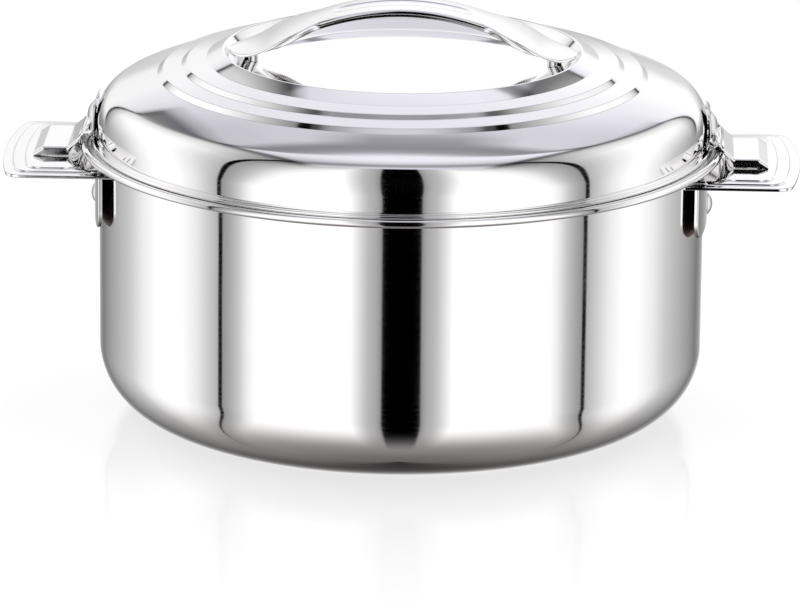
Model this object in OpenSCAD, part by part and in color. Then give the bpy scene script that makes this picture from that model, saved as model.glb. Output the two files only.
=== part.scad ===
// Double-walled steel serving pot with a lift-off lid and two side clips.
// Millimetres, +Z up, origin at the centre of the base on the table, X along the side handles.

/* [Body] */
// outside radius of the body wall
body_r = 120; // [118.8:0.1:120.6]
// radius of the rounded bottom corner
body_corner_r = 27; // [15:0.5:35]
// sheet thickness of the outer wall
body_sheet = 0.6; // [0.5:0.05:0.8]
// width of the foot around the recess under the base, from the wall in
base_foot_w = 34; // [32:0.5:60]
// depth of that recess
base_recess_h = 1.2; // [0.4:0.1:2]
// space between the outside of the body wall and the inside of the bowl
wall_gap = 12; // [10:0.1:12.4]
// height of the bowl floor above the table
bowl_floor_z = 11; // [8:0.5:24]
// corner radius inside the bowl
bowl_corner_r = 20; // [8:0.5:30]
// sheet thickness of the bowl
bowl_sheet = 0.5; // [0.4:0.05:0.6]
// height of the rim face the lid sits on
rim_z = 109.3; // [109.1:0.05:109.6]
// how far the middle of the rim bead stands out from the body wall
bead_out = 6.2; // [5.9:0.1:6.3]
// radius of the bead's round section
bead_r = 1.6; // [1.5:0.05:1.65]
// how far the middle of the bead lies below the rim face
bead_drop = 0.75; // [0.7:0.05:0.8]

/* [Lid] */
// how far the lid skirt stands out from the body wall
skirt_out = 1; // [0.7:0.05:1.1]
// height of the straight part of the skirt above its foot
skirt_h = 6.95; // [5:0.05:8]
// radius of the lid shoulder
shoulder_r = 13.5; // [10:0.5:16]
// slope of the lid between shoulder and outer step, degrees
lid_slope = 19.8; // [15:0.2:24]
// outer step: how far its foot lies in from the skirt
step1_in = 24; // [21:0.5:27]
// inner step: how far its foot lies in from the outer one
step2_in = 9.4; // [8:0.2:12]
// cone: how far its foot lies in from the inner step
cone_in = 10; // [8:0.2:12]
// height of each step
step_h = 1.9; // [1:0.1:2.4]
// how far each step leans in over its height
step_lean = 1.8; // [0.8:0.1:2.4]
// rise of the flat between the steps
step_rise = 1.35; // [0.5:0.05:2]
// how far the rim of the centre dish lies in from the foot of the cone
dish_rim_in = 6.6; // [5:0.1:7]
// height of the dish rim above the foot of the cone
dish_rim_h = 3.4; // [2:0.1:5]
// depth of the dish below its rim
dish_depth = 6.1; // [5.7:0.1:7]
// width of the sloping wall of the dish
dish_wall_w = 13.5; // [12.5:0.5:20]
// sheet thickness of the lid
lid_sheet = 0.5; // [0.4:0.02:0.52]
// how far the rolled edge of the lid stands out from the skirt
lid_edge_out = 2.4; // [2:0.05:2.5]
// thickness of the rolled edge
lid_edge_h = 1.5; // [1.48:0.01:1.52]
// gap between the plug that reaches into the bowl and the bowl wall
plug_gap = 1; // [0.8:0.1:4]
// depth of the plug below the rim face
plug_depth = 10; // [6:0.5:20]
// corner radius of the plug
plug_corner_r = 4; // [2:0.5:6]
// sheet thickness of the inner lid
plug_sheet = 0.44; // [0.36:0.02:0.46]

/* [Lid handle] */
// height of the crown of the strap above the dish rim
strap_rise = 19.1; // [15:0.1:26]
// width of the strap
strap_w = 26; // [22:0.5:30]
// gap between the rounded ends of the strap and the dish rim
strap_gap = 2; // [1.8:0.1:4]
// radius of the spoon-shaped ends
spoon_r = 19.5; // [16:0.5:22]
// thickness of the strap
strap_t = 1.1; // [0.8:0.05:1.4]
// depth of the turned-down edges below the top face
strap_edge = 3; // [2:0.1:3.6]
// length of the pressed groove
groove_l = 54; // [30:1:70]
// width of the pressed groove
groove_w = 9; // [5:0.5:12]
// depth of the pressed groove
groove_d = 0.5; // [0.2:0.05:0.6]
// how far each stud lies in from the end of the strap
stud_in = 9; // [8:0.5:12]
// radius of the stud shoulder
stud_r = 2.8; // [2.4:0.1:3.2]

/* [Side handles] */
// how far the plate reaches out from the body wall
plate_out = 37.9; // [30:0.5:50]
// half the width of the plate
plate_half_w = 42.4; // [38:0.2:46]
// radius of the slightly bowed outer end
plate_bow_r = 200; // [150:5:260]
// corner radius of the plate
plate_corner_r = 6; // [3:0.5:10]
// how far the lower step top lies below the rim
plate_drop = 6.6; // [6.55:0.05:7.8]
// thickness of the plate sheet
plate_t = 1.4; // [1:0.1:1.8]
// how far the middle step is set in
step_in_a = 4; // [2:0.2:5]
// how far the top step is set in from the middle one
step_in_b = 5; // [3:0.2:7]
// rise of each plate step
plate_step = 0.65; // [0.3:0.05:0.67]
// gap between the body wall and the inner end of the top step
top_step_gap = 6; // [4:0.2:10]
// thickness of the leg on the wall
leg_t = 1.5; // [1:0.1:2]
// how far the leg is narrower than the plate on each side
leg_inset = 2.4; // [1:0.2:12]
// length of the leg below the lower step top
leg_l = 23.3; // [20:0.1:32]
// corner radius at the foot of the leg
leg_corner_r = 8; // [3:0.5:12]
// height of the leg rivet above the foot of the leg
leg_rivet_up = 5.5; // [5:0.1:9]
// radius of the leg rivet head
leg_rivet_r = 4.5; // [3.5:0.1:5.5]
// height of the leg rivet head
leg_rivet_h = 2; // [1:0.1:2.5]

/* [Clips] */
// gap between the leaf and the sides of the clip, on each side
clip_side_gap = 0.7; // [0.7:0.05:1.1]
// thickness of the leaf
leaf_t = 1; // [0.8:0.05:1.1]
// height of the bend of the leaf above the rivet
leaf_bend_up = 5.6; // [5.4:0.1:6.5]
// lean of the leaf top, degrees
leaf_lean = 24; // [5:1:26]
// height of the leaf rivet above the rolled edge of the lid
leaf_rivet_up = 6.15; // [6.05:0.05:6.35]
// radius of the leaf rivet head
leaf_rivet_r = 5.7; // [5:0.05:5.75]
// height of the leaf rivet head
leaf_rivet_h = 2.8; // [2:0.1:3]
// how far the hinge pin lies in from the middle of the rim bead
pin_in = 1.1; // [0.9:0.05:1.2]
// height of the hinge pin above the rolled edge of the lid
pin_up = 1.1; // [1.05:0.02:1.15]
// radius of the hinge pin
pin_r = 0.8; // [0.7:0.02:0.85]
// outside half width of the clip
clip_half_w = 18; // [17.6:0.1:18.4]
// thickness of the clip sheet
clip_t = 1; // [0.8:0.05:1.1]
// distance from the pin to the bend between web and tab
clip_web_l = 6.5; // [5.9:0.1:7.9]
// length of the flat tab
clip_tab_l = 9.6; // [6.4:0.2:12.4]
// length of the turned-down lip
clip_lip_l = 3.8; // [1.8:0.2:5.8]
// how far the top of the tab lies below the rim
clip_tab_drop = 1.5; // [1.3:0.05:1.8]
// depth of the clip sides below the top of the tab
clip_side_h = 3.2; // [3:0.02:3.3]

/* [Fits] */
// gap between the lid edge and the rim face
lid_seat_gap = 0.05; // [0.03:0.01:0.08]
// gap between the side handle and the wall
leg_gap = 0.05; // [0.03:0.01:0.1]
// gap between the leaf and the skirt
leaf_gap = 0.15; // [0.1:0.01:0.2]
// radial play of a rivet in its hole
rivet_play = 0.05; // [0.03:0.01:0.1]
// radial play of the clip on its pin
pin_play = 0.06; // [0.04:0.01:0.1]
// side play between the clip and the ears of the leaf
ear_play = 0.4; // [0.3:0.05:0.5]
// gap between the insulation and the sheets
foam_gap = 0.1; // [0.05:0.01:0.2]
// gap kept around rivet tails inside the insulation
tail_gap = 0.6; // [0.3:0.1:1]

/* [Hidden] */
$fn = 96;
eps = 0.01;
base_recess_r = body_r - base_foot_w;
bowl_r = body_r - wall_gap;
bead_mid_r = body_r + bead_out;
bead_z = rim_z - bead_drop;
flange_z = rim_z - bowl_sheet - 0.05 - body_sheet;
skirt_r = body_r + skirt_out;
lid_edge_r = skirt_r + lid_edge_out;
plug_r = bowl_r - plug_gap;
step1_r = skirt_r - step1_in;
step2_r = step1_r - step2_in;
cone_r = step2_r - cone_in;
dish_rim_r = cone_r - dish_rim_in;
dish_floor_r = dish_rim_r - dish_wall_w;
edge_z0 = rim_z + lid_seat_gap;
edge_z1 = edge_z0 + lid_edge_h;
edge_rr = lid_edge_h / 2;
shoulder_z = edge_z1 + skirt_h;
shoulder_in = skirt_r - shoulder_r;
slope_r = shoulder_in + shoulder_r * sin(lid_slope);
slope_z = shoulder_z + shoulder_r * cos(lid_slope);
s1_z = slope_z + (slope_r - step1_r) * tan(lid_slope);
s1_top = s1_z + step_h;
s2_z = s1_top + step_rise;
s2_top = s2_z + step_h * 0.9;
cone_z = s2_top + step_rise;
rim_top = cone_z + dish_rim_h;
dish_z = rim_top - dish_depth;
crown_z = rim_top + strap_rise;
spoon_z = rim_top - 0.4;
strap_reach = dish_rim_r - strap_gap;
stud_x = strap_reach - stud_in;
strap_foot_x = strap_reach - 13;
strap_edge_x = strap_foot_x - 2;
plate_tip = body_r + plate_out;
plate_top_z = rim_z - plate_drop;
top_step_in = body_r + top_step_gap;
leg_half_w = plate_half_w - leg_inset;
leg_foot_z = plate_top_z - leg_l;
leg_rivet_z = leg_foot_z + leg_rivet_up;
leaf_half_w = clip_half_w - clip_t - clip_side_gap;
leaf_rivet_z = edge_z1 + leaf_rivet_up;
leaf_bend_z = leaf_rivet_z + leaf_bend_up;
pin_x = bead_mid_r - pin_in;
pin_z = edge_z1 + pin_up;
clip_bend_x = pin_x + clip_web_l;
clip_tab_x = clip_bend_x + clip_tab_l;
clip_lip_x = clip_tab_x + clip_lip_l;
clip_tab_z = rim_z - clip_tab_drop;
clip_low_z = clip_tab_z - clip_side_h;
inside_wall = body_r - 20;
leaf_x = skirt_r + leaf_gap;
leaf_foot_z = edge_z1 + 0.45;
grey = [0.80, 0.80, 0.82];

function arcpts(cx, cz, r, a0, a1, n) =
  [for (i = [0:n]) [cx + r * cos(a0 + (a1 - a0) * i / n), cz + r * sin(a0 + (a1 - a0) * i / n)]];
function unit(v) = v / norm(v);
function left(v) = [-v[1], v[0]];
function seg(p, i) = unit(p[i + 1] - p[i]);
function shift(p, i, t) =
  let (n = len(p), a = seg(p, max(0, min(i - 1, n - 2))), b = seg(p, min(i, n - 2)))
  let (m = unit(left(a) + left(b)))
  p[i] + m * t / (m * left(b));
function beside(p, t) = [for (i = [0:len(p) - 1]) shift(p, i, t)];
function back(p) = [for (i = [len(p) - 1:-1:0]) p[i]];

body_path = concat(
  [[0, base_recess_h], [base_recess_r, base_recess_h], [base_recess_r + 2 * base_recess_h, 0]],
  arcpts(body_r - body_corner_r, body_corner_r, body_corner_r, -90, 0, 14),
  arcpts(body_r + 1.25, flange_z - 1.25, 1.25, 180, 90, 4),
  [[bead_mid_r - 0.25, flange_z]]);
bowl_path = concat([[0, bowl_floor_z]],
  arcpts(bowl_r - bowl_corner_r, bowl_floor_z + bowl_corner_r, bowl_corner_r, -90, 0, 12),
  arcpts(bowl_r + 1.3, rim_z - 1.3, 1.3, 180, 90, 4),
  arcpts(bead_mid_r, bead_z, bead_r, 152, -108, 16));
lid_path = concat([[skirt_r - 1.4, edge_z0]],
  arcpts(lid_edge_r - edge_rr, edge_z0 + edge_rr, edge_rr, -90, 90, 8),
  [[skirt_r, edge_z1]],
  arcpts(shoulder_in, shoulder_z, shoulder_r, 0, 90 - lid_slope, 12),
  [[step1_r, s1_z], [step1_r - step_lean, s1_top], [step2_r, s2_z],
    [step2_r - step_lean, s2_top], [cone_r, cone_z], [dish_rim_r + 1.2, rim_top - 0.7]],
  arcpts(dish_rim_r, rim_top - 1.2, 1.2, 40, 170, 6),
  [[dish_rim_r - 1.8, rim_top - 3.4], [dish_floor_r, dish_z + 0.15], [dish_floor_r - 3, dish_z],
    [0, dish_z]]);
flange_under = edge_z0 + lid_edge_h / 2 - plug_sheet / 2;
plug_path = concat([[0, rim_z - plug_depth]],
  arcpts(plug_r - plug_corner_r, rim_z - plug_depth + plug_corner_r, plug_corner_r, -90, 0, 8),
  arcpts(plug_r + 1.2, flange_under - 1.2, 1.2, 180, 90, 4),
  [[lid_edge_r - edge_rr - 0.35, flange_under]]);

module sheet(p, t) {
  rotate_extrude()
    polygon(concat(p, back(beside(p, t))));
}

module along_x(x0, x1, r) {
  translate([x0, 0, 0])
    rotate([0, 90, 0])
      cylinder(r = r, h = x1 - x0, $fn = 48);
}

module both_sides() {
  children();
  mirror([1, 0, 0])
    children();
}

module rivet(face, head_r, head_h, shank_r, tail, tail_r, tail_h) {
  ball = (head_r * head_r + head_h * head_h) / (2 * head_h);
  half = asin(head_r / ball);
  rotate([0, 90, 0])
    rotate_extrude($fn = 64)
      polygon(concat([[0, tail - tail_h], [tail_r, tail - tail_h], [tail_r, tail],
        [shank_r, tail], [shank_r, face], [head_r, face]],
        [for (i = [1:8]) [ball * sin(half * (8 - i) / 8),
          face + head_h - ball + ball * cos(half * (8 - i) / 8)]]));
}

module leg_rivet_hole() {
  both_sides()
    translate([0, 0, leg_rivet_z])
      along_x(body_r - 6, body_r + 6, leg_shank_r + rivet_play);
}

module leaf_rivet_hole() {
  both_sides()
    translate([0, 0, leaf_rivet_z])
      along_x(skirt_r - 6, skirt_r + 6, leaf_shank_r + rivet_play);
}
leg_shank_r = 2.2;
leaf_shank_r = 2;
stud_shank_r = 1.8;

module body_outer_shell() {
  color(grey)
    difference() {
      sheet(body_path, body_sheet);
      leg_rivet_hole();
    }
}

module body_inner_bowl() {
  color(grey)
    sheet(bowl_path, -bowl_sheet);
}

module body_foam() {
  lo = base_recess_h + body_sheet + foam_gap;
  out_r = body_r - body_sheet - foam_gap;
  in_r = bowl_r + bowl_sheet + foam_gap;
  in_z = bowl_floor_z - bowl_sheet - foam_gap;
  corner = body_corner_r - body_sheet - foam_gap;
  top = flange_z - 1.5;
  under_corner = bowl_corner_r + bowl_sheet + foam_gap;
  color([0.93, 0.88, 0.66])
    difference() {
      rotate_extrude()
        polygon(concat([[0, lo], [base_recess_r, lo]],
          arcpts(body_r - body_corner_r, body_corner_r, corner, -88, 0, 12),
          [[out_r, top], [in_r, top]],
          arcpts(bowl_r - bowl_corner_r, bowl_floor_z + bowl_corner_r, under_corner, 0, -90, 12),
          [[0, in_z]]));
      both_sides()
        translate([0, 0, leg_rivet_z])
          along_x(body_r - 5.2, body_r + 1, 5 + tail_gap);
    }
}

module plate_plan(tip, half_w, corner, inner) {
  arc_r = plate_bow_r - (plate_tip - tip);
  arc_x = plate_tip - plate_bow_r;
  mid = half_w - corner;
  corner_x = arc_x + sqrt(pow(arc_r - corner, 2) - mid * mid);
  reach = mid + corner * mid / (arc_r - corner);
  translate([inner, -half_w])
    square([corner_x - inner, 2 * half_w]);
  for (s = [-1, 1])
    translate([corner_x, s * mid])
      circle(r = corner);
  intersection() {
    translate([arc_x, 0])
      circle(r = arc_r, $fn = 360);
    translate([inner, -reach])
      square([plate_tip - inner + 1, 2 * reach]);
  }
}

module top_plan() {
  c = plate_corner_r;
  tip = plate_tip - step_in_a - step_in_b;
  half_w = plate_half_w - step_in_a - step_in_b + 1.5;
  intersection() {
    plate_plan(tip, half_w, c, top_step_in);
    union() {
      translate([top_step_in + c, -half_w])
        square([plate_tip - top_step_in, 2 * half_w]);
      translate([top_step_in, c - half_w])
        square([plate_tip - top_step_in, 2 * (half_w - c)]);
      for (s = [-1, 1])
        translate([top_step_in + c, s * (half_w - c)])
          circle(r = c);
    }
  }
}

module handle_plate() {
  difference() {
    union() {
      translate([0, 0, plate_top_z - plate_t])
        linear_extrude(plate_t)
          plate_plan(plate_tip, plate_half_w, plate_corner_r, inside_wall);
      translate([0, 0, plate_top_z - eps])
        linear_extrude(plate_step + eps)
          plate_plan(plate_tip - step_in_a, plate_half_w - step_in_a, plate_corner_r, inside_wall);
      translate([0, 0, plate_top_z + plate_step - eps])
        linear_extrude(plate_step + eps)
          top_plan();
    }
    translate([0, 0, plate_top_z - 20])
      cylinder(r = body_r + leg_gap, h = 40, $fn = 360);
  }
}

module leg_outline() {
  h = plate_top_z - 0.3 - leg_foot_z;
  translate([-leg_half_w, leg_corner_r])
    square([2 * leg_half_w, h - leg_corner_r]);
  translate([leg_corner_r - leg_half_w, 0])
    square([2 * (leg_half_w - leg_corner_r), leg_corner_r + 1]);
  for (s = [-1, 1])
    translate([s * (leg_half_w - leg_corner_r), leg_corner_r])
      circle(r = leg_corner_r);
}

module handle_leg() {
  intersection() {
    difference() {
      translate([0, 0, leg_foot_z - 1])
        cylinder(r = body_r + leg_gap + leg_t, h = 40, $fn = 360);
      translate([0, 0, leg_foot_z - 2])
        cylinder(r = body_r + leg_gap, h = 42, $fn = 360);
    }
    translate([inside_wall, 0, leg_foot_z])
      rotate([90, 0, 90])
        linear_extrude(30)
          leg_outline();
  }
}

module one_handle() {
  color(grey)
    difference() {
      union() {
        handle_plate();
        handle_leg();
      }
      leg_rivet_hole();
    }
}

module handle_right() {
  one_handle();
}

module handle_left() {
  mirror([1, 0, 0])
    one_handle();
}

leg_face = body_r + leg_gap + leg_t + 0.05;
leg_back = body_r - body_sheet - 0.15;

module handle_rivets() {
  color(grey)
    both_sides()
      translate([0, 0, leg_rivet_z])
        rivet(leg_face, leg_rivet_r, leg_rivet_h, leg_shank_r, leg_back - 1.2, 3.4, 1.2);
}

module handle_rivet_washers() {
  color(grey)
    both_sides()
      translate([0, 0, leg_rivet_z])
        difference() {
          along_x(leg_back - 1.15, leg_back, 5);
          along_x(leg_back - 2, leg_back + 1, leg_shank_r + rivet_play);
        }
}

module stud_holes(r) {
  for (s = [-1, 1])
    translate([s * stud_x, 0, dish_z - 4])
      cylinder(r = r, h = 8, $fn = 48);
}

module lid_outer_shell() {
  color(grey)
    difference() {
      sheet(lid_path, lid_sheet);
      leaf_rivet_hole();
      stud_holes(stud_shank_r + rivet_play);
    }
}

module lid_inner_shell() {
  color(grey)
    sheet(plug_path, plug_sheet);
}

module lid_foam() {
  lo = rim_z - plug_depth + plug_sheet + foam_gap;
  in_r = plug_r - plug_sheet - foam_gap;
  ledge = flange_under + plug_sheet + foam_gap;
  corner = plug_corner_r - plug_sheet - foam_gap;
  gap = lid_sheet + foam_gap;
  color([0.93, 0.88, 0.66])
    difference() {
      rotate_extrude()
        polygon(concat([[0, lo]],
          arcpts(plug_r - plug_corner_r, rim_z - plug_depth + plug_corner_r, corner, -90, 0, 6),
          [[in_r, ledge + 0.6], [in_r + 2, ledge + 0.6], [skirt_r - gap - 1, ledge + 0.6],
            [skirt_r - gap, ledge + 0.9]],
          arcpts(shoulder_in, shoulder_z, shoulder_r - gap, 0, 90 - lid_slope, 10),
          [[step1_r, s1_z - gap - 0.1], [step2_r, s1_top - gap], [cone_r, s2_top - gap],
            [dish_rim_r, cone_z - gap - 0.2], [dish_floor_r + 4, dish_z - gap - 0.1],
            [0, dish_z - gap]]));
      both_sides()
        translate([0, 0, leaf_rivet_z])
          along_x(skirt_r - 5.4, skirt_r + 1, 3.5 + tail_gap);
      for (s = [-1, 1])
        translate([s * stud_x, 0, dish_z - 3.2])
          cylinder(r = stud_r + tail_gap, h = 8, $fn = 48);
    }
}

sag = (crown_z - spoon_z - 3) / pow(strap_foot_x, 2);
strap_run = (strap_foot_x - 4) / 13;
function strap_z(x) = crown_z - sag * x * x;
half_strap = concat([for (i = [0:13]) [strap_run * i, strap_z(strap_run * i)]],
  [[strap_foot_x, spoon_z + 2.95], [strap_foot_x + 4, spoon_z + 1.3],
    [strap_foot_x + 8, spoon_z + 0.4], [strap_foot_x + 11, spoon_z + 0.1],
    [strap_reach + 1, spoon_z]]);
strap_path = concat([for (i = [len(half_strap) - 1:-1:1]) [-half_strap[i][0], half_strap[i][1]]],
  half_strap);

module strap_band(top, low) {
  rotate([90, 0, 0])
    linear_extrude(2 * strap_reach, center = true)
      polygon(concat(beside(strap_path, -top), back(beside(strap_path, -low))));
}

module strap_plan() {
  square([2 * strap_foot_x, strap_w], center = true);
  for (s = [-1, 1])
    translate([s * (strap_reach - spoon_r), 0])
      circle(r = spoon_r);
}

module groove_plan() {
  run = groove_l - groove_w;
  square([run, groove_w], center = true);
  for (s = [-1, 1])
    translate([s * run / 2, 0])
      circle(r = groove_w / 2);
}

module lid_handle() {
  color(grey)
    difference() {
      union() {
        intersection() {
          strap_band(0, strap_t);
          translate([0, 0, rim_top - 8])
            linear_extrude(strap_rise + 20)
              strap_plan();
        }
        for (s = [-1, 1])
          intersection() {
            strap_band(0, strap_edge);
            translate([-strap_edge_x, s * strap_w / 2 - (s > 0 ? 1 : 0), rim_top - 8])
              cube([2 * strap_edge_x, 1, strap_rise + 20]);
          }
      }
      intersection() {
        strap_band(-1, groove_d);
        translate([0, 0, rim_top])
          linear_extrude(strap_rise + 20)
            groove_plan();
      }
    }
}

module dish_below(gap) {
  rotate_extrude()
    polygon([[0, dish_z + gap], [dish_floor_r - 3, dish_z + gap],
      [dish_floor_r, dish_z + 0.15 + gap], [dish_rim_r - 1.8, rim_top - 3.4 + gap],
      [dish_rim_r - 1.8, dish_z - 6], [0, dish_z - 6]]);
}

module lid_handle_studs() {
  color(grey)
    for (s = [-1, 1])
      translate([s * stud_x, 0, 0]) {
        difference() {
          translate([0, 0, dish_z - 1])
            cylinder(r = stud_r, h = dish_depth + 8, $fn = 48);
          translate([-s * stud_x, 0, 0])
            strap_band(-30, strap_t + 0.03);
          translate([-s * stud_x, 0, 0])
            dish_below(0.03);
        }
        translate([0, 0, dish_z - lid_sheet - 1])
          cylinder(r = stud_shank_r, h = lid_sheet + 3.5, $fn = 48);
        translate([0, 0, dish_z - lid_sheet - 1.25])
          cylinder(r = stud_r, h = 1.2, $fn = 48);
      }
}

module leaf_side() {
  up = leaf_foot_z + leaf_half_w + 1;
  lean = (up - leaf_bend_z) * tan(leaf_lean);
  rotate([90, 0, 0])
    linear_extrude(4 * leaf_half_w, center = true)
      polygon([[leaf_x, leaf_foot_z], [leaf_x + leaf_t, leaf_foot_z],
        [leaf_x + leaf_t, leaf_bend_z], [leaf_x + leaf_t - lean, up],
        [leaf_x - lean, up], [leaf_x, leaf_bend_z - 0.2]]);
}

module leaf_front() {
  translate([leaf_x - 8, 0, leaf_foot_z - 1.2])
    rotate([90, 0, 90])
      linear_extrude(14)
        circle(r = leaf_half_w);
}

module ear(s) {
  y0 = s > 0 ? leaf_half_w - 1 : -leaf_half_w;
  translate([0, y0 + 1, 0])
    rotate([90, 0, 0])
      linear_extrude(1)
        difference() {
          union() {
            polygon([[leaf_x + 0.2, leaf_foot_z], [pin_x, pin_z - ear_r], [pin_x + ear_r, pin_z],
              [pin_x + ear_r * 0.7, pin_z + ear_r * 0.7], [leaf_x + 0.6, leaf_foot_z + 4]]);
            translate([pin_x, pin_z])
              circle(r = ear_r, $fn = 48);
          }
          translate([pin_x, pin_z])
            circle(r = pin_r + 0.02, $fn = 48);
        }
}
ear_r = 1.55;

module one_bracket() {
  color(grey)
    difference() {
      union() {
        intersection() {
          leaf_side();
          leaf_front();
        }
        intersection() {
          leaf_side();
          translate([inside_wall, -leaf_half_w, leaf_foot_z - 1])
            cube([40, 2 * leaf_half_w, 4]);
        }
        ear(-1);
        ear(1);
      }
      leaf_rivet_hole();
    }
}

module latch_bracket_right() {
  one_bracket();
}

module latch_bracket_left() {
  mirror([1, 0, 0])
    one_bracket();
}

leaf_face = leaf_x + leaf_t + 0.03;
washer_face = skirt_r - lid_sheet - 0.6;

module latch_rivets() {
  color(grey)
    both_sides()
      translate([0, 0, leaf_rivet_z])
        rivet(leaf_face, leaf_rivet_r, leaf_rivet_h, leaf_shank_r, washer_face - 1.05, 3, 1.05);
}

module latch_rivet_washers() {
  color(grey)
    both_sides()
      translate([0, 0, leaf_rivet_z])
        difference() {
          along_x(washer_face - 1, washer_face, 3.5);
          along_x(washer_face - 2, washer_face + 1, leaf_shank_r + rivet_play);
        }
}

module one_pin() {
  color(grey)
    translate([pin_x, 0, pin_z])
      rotate([90, 0, 0]) {
        cylinder(r = pin_r, h = 2 * clip_half_w + 0.9, center = true, $fn = 48);
        for (s = [-1, 1])
          translate([0, 0, s * (clip_half_w + 0.5)])
            cylinder(r = pin_r + 0.45, h = 0.6, center = true, $fn = 48);
      }
}

module latch_pin_right() {
  one_pin();
}

module latch_pin_left() {
  mirror([1, 0, 0])
    one_pin();
}

knuckle_r = 1.5;
web_in = pin_x + ear_r + 0.5;
web_z = pin_z + knuckle_r;
web_drop = (web_z - clip_tab_z) / (clip_bend_x - pin_x);
lip_z = clip_tab_z - 2.4;

module clip_sides() {
  side = [[pin_x, web_z], [clip_bend_x, clip_tab_z], [clip_tab_x, clip_tab_z],
    [clip_lip_x, lip_z], [clip_lip_x - 0.4, clip_low_z], [web_in + 0.9, clip_low_z],
    [web_in + 0.35, bead_z + bead_r], [pin_x + 1.1, pin_z - 1.05]];
  for (s = [-1, 1])
    translate([0, s > 0 ? clip_half_w : clip_t - clip_half_w, 0])
      rotate([90, 0, 0])
        linear_extrude(clip_t) {
          polygon(side);
          translate([pin_x, pin_z])
            circle(r = knuckle_r, $fn = 48);
        }
}

module clip_top() {
  w = clip_half_w;
  top = [[web_in, web_z - web_drop * (web_in - pin_x)], [clip_bend_x, clip_tab_z],
    [clip_tab_x, clip_tab_z], [clip_lip_x, lip_z]];
  rotate([90, 0, 0])
    linear_extrude(2 * w, center = true)
      polygon(concat(top, back(beside(top, -clip_t))));
}

module clip_knuckle() {
  w = 2 * (leaf_half_w - 1 - ear_play);
  joint = [[pin_x, web_z], [web_in + 0.4, web_z - web_drop * (web_in + 0.4 - pin_x)],
    [web_in + 0.4, web_z - web_drop * (web_in + 0.4 - pin_x) - clip_t], [pin_x, pin_z + 0.3]];
  rotate([90, 0, 0])
    linear_extrude(w, center = true) {
      circle_at_pin();
      polygon(joint);
    }
}

module circle_at_pin() {
  translate([pin_x, pin_z])
    circle(r = knuckle_r, $fn = 48);
}

module one_lever() {
  color(grey)
    difference() {
      union() {
        clip_sides();
        clip_top();
        clip_knuckle();
      }
      translate([pin_x, 0, pin_z])
        rotate([90, 0, 0])
          cylinder(r = pin_r + pin_play, h = 4 * clip_half_w, center = true, $fn = 48);
    }
}

module latch_lever_right() {
  one_lever();
}

module latch_lever_left() {
  mirror([1, 0, 0])
    one_lever();
}

body_outer_shell();
body_inner_bowl();
body_foam();
handle_left();
handle_right();
handle_rivets();
handle_rivet_washers();
lid_outer_shell();
lid_inner_shell();
lid_foam();
lid_handle();
lid_handle_studs();
latch_bracket_left();
latch_bracket_right();
latch_rivets();
latch_rivet_washers();
latch_pin_left();
latch_pin_right();
latch_lever_left();
latch_lever_right();
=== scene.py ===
import math

import bmesh
import bpy
from bpy.props import FloatProperty, FloatVectorProperty, IntProperty, PointerProperty
from mathutils import Matrix, Vector


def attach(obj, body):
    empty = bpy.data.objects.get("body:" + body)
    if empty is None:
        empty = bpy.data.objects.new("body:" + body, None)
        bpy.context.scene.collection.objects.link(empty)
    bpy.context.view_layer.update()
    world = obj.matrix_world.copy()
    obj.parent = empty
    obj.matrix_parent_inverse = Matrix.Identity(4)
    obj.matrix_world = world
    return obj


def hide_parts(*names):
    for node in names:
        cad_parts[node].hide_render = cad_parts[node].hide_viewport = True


bl_info = {
    "name": "Insulated steel serving pot",
    "version": (1, 0, 0),
    "blender": (4, 5, 0),
    "location": "View3D > Sidebar > Serving pot",
    "description": "Dresses the CAD frame of a double-walled steel serving pot with a lift-off lid",
    "category": "Object",
}

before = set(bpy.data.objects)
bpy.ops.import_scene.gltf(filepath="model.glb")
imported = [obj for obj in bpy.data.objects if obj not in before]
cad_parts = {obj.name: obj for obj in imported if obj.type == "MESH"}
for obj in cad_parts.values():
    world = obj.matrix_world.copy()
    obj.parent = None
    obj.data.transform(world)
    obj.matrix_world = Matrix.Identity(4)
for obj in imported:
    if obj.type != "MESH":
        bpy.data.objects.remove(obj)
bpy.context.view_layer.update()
MM = 0.001

# small gaps and set-backs that several pieces share, in millimetres
TOUCH = 0.05          # between faces that lie on each other
LEAF_OFF = 0.15       # between the lid skirt and the leaf
LEAF_UP = 0.45        # between the rolled lid edge and the foot of the leaf
LID_SLOPE = 19.8      # mean slope of the lid, in degrees
SHOULDER_TURN = 67.2  # how far the lid's shoulder turns, in degrees
TOP_FALL = 0.35       # how far the strap's top falls from its middle to its sides
EYE_GAMMA = 2.2       # from the levels of the tent, as the eye sees them, to light
TENT_LIGHT = 1.2      # strength of the tent at level 1


# ---- sizes and colours that a user would change --------------------------------------------

def length(name, value, description):
    """A size given in millimetres, which Blender keeps in metres."""
    return FloatProperty(name=name, description=description, default=value * MM, min=0.0,
                         precision=5, unit="LENGTH")


def to_linear(code):
    """An sRGB hex colour as linear red, green, blue and alpha."""
    def channel(text):
        c = int(text, 16) / 255
        return c / 12.92 if c <= 0.04045 else ((c + 0.055) / 1.055) ** 2.4
    return [channel(code[i:i + 2]) for i in (0, 2, 4)] + [1.0]


def finish_colour(name, code, description):
    """A colour given as an sRGB hex code."""
    return FloatVectorProperty(name=name, description=description, default=to_linear(code),
                               size=4, min=0.0, max=1.0, subtype="COLOR")


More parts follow.
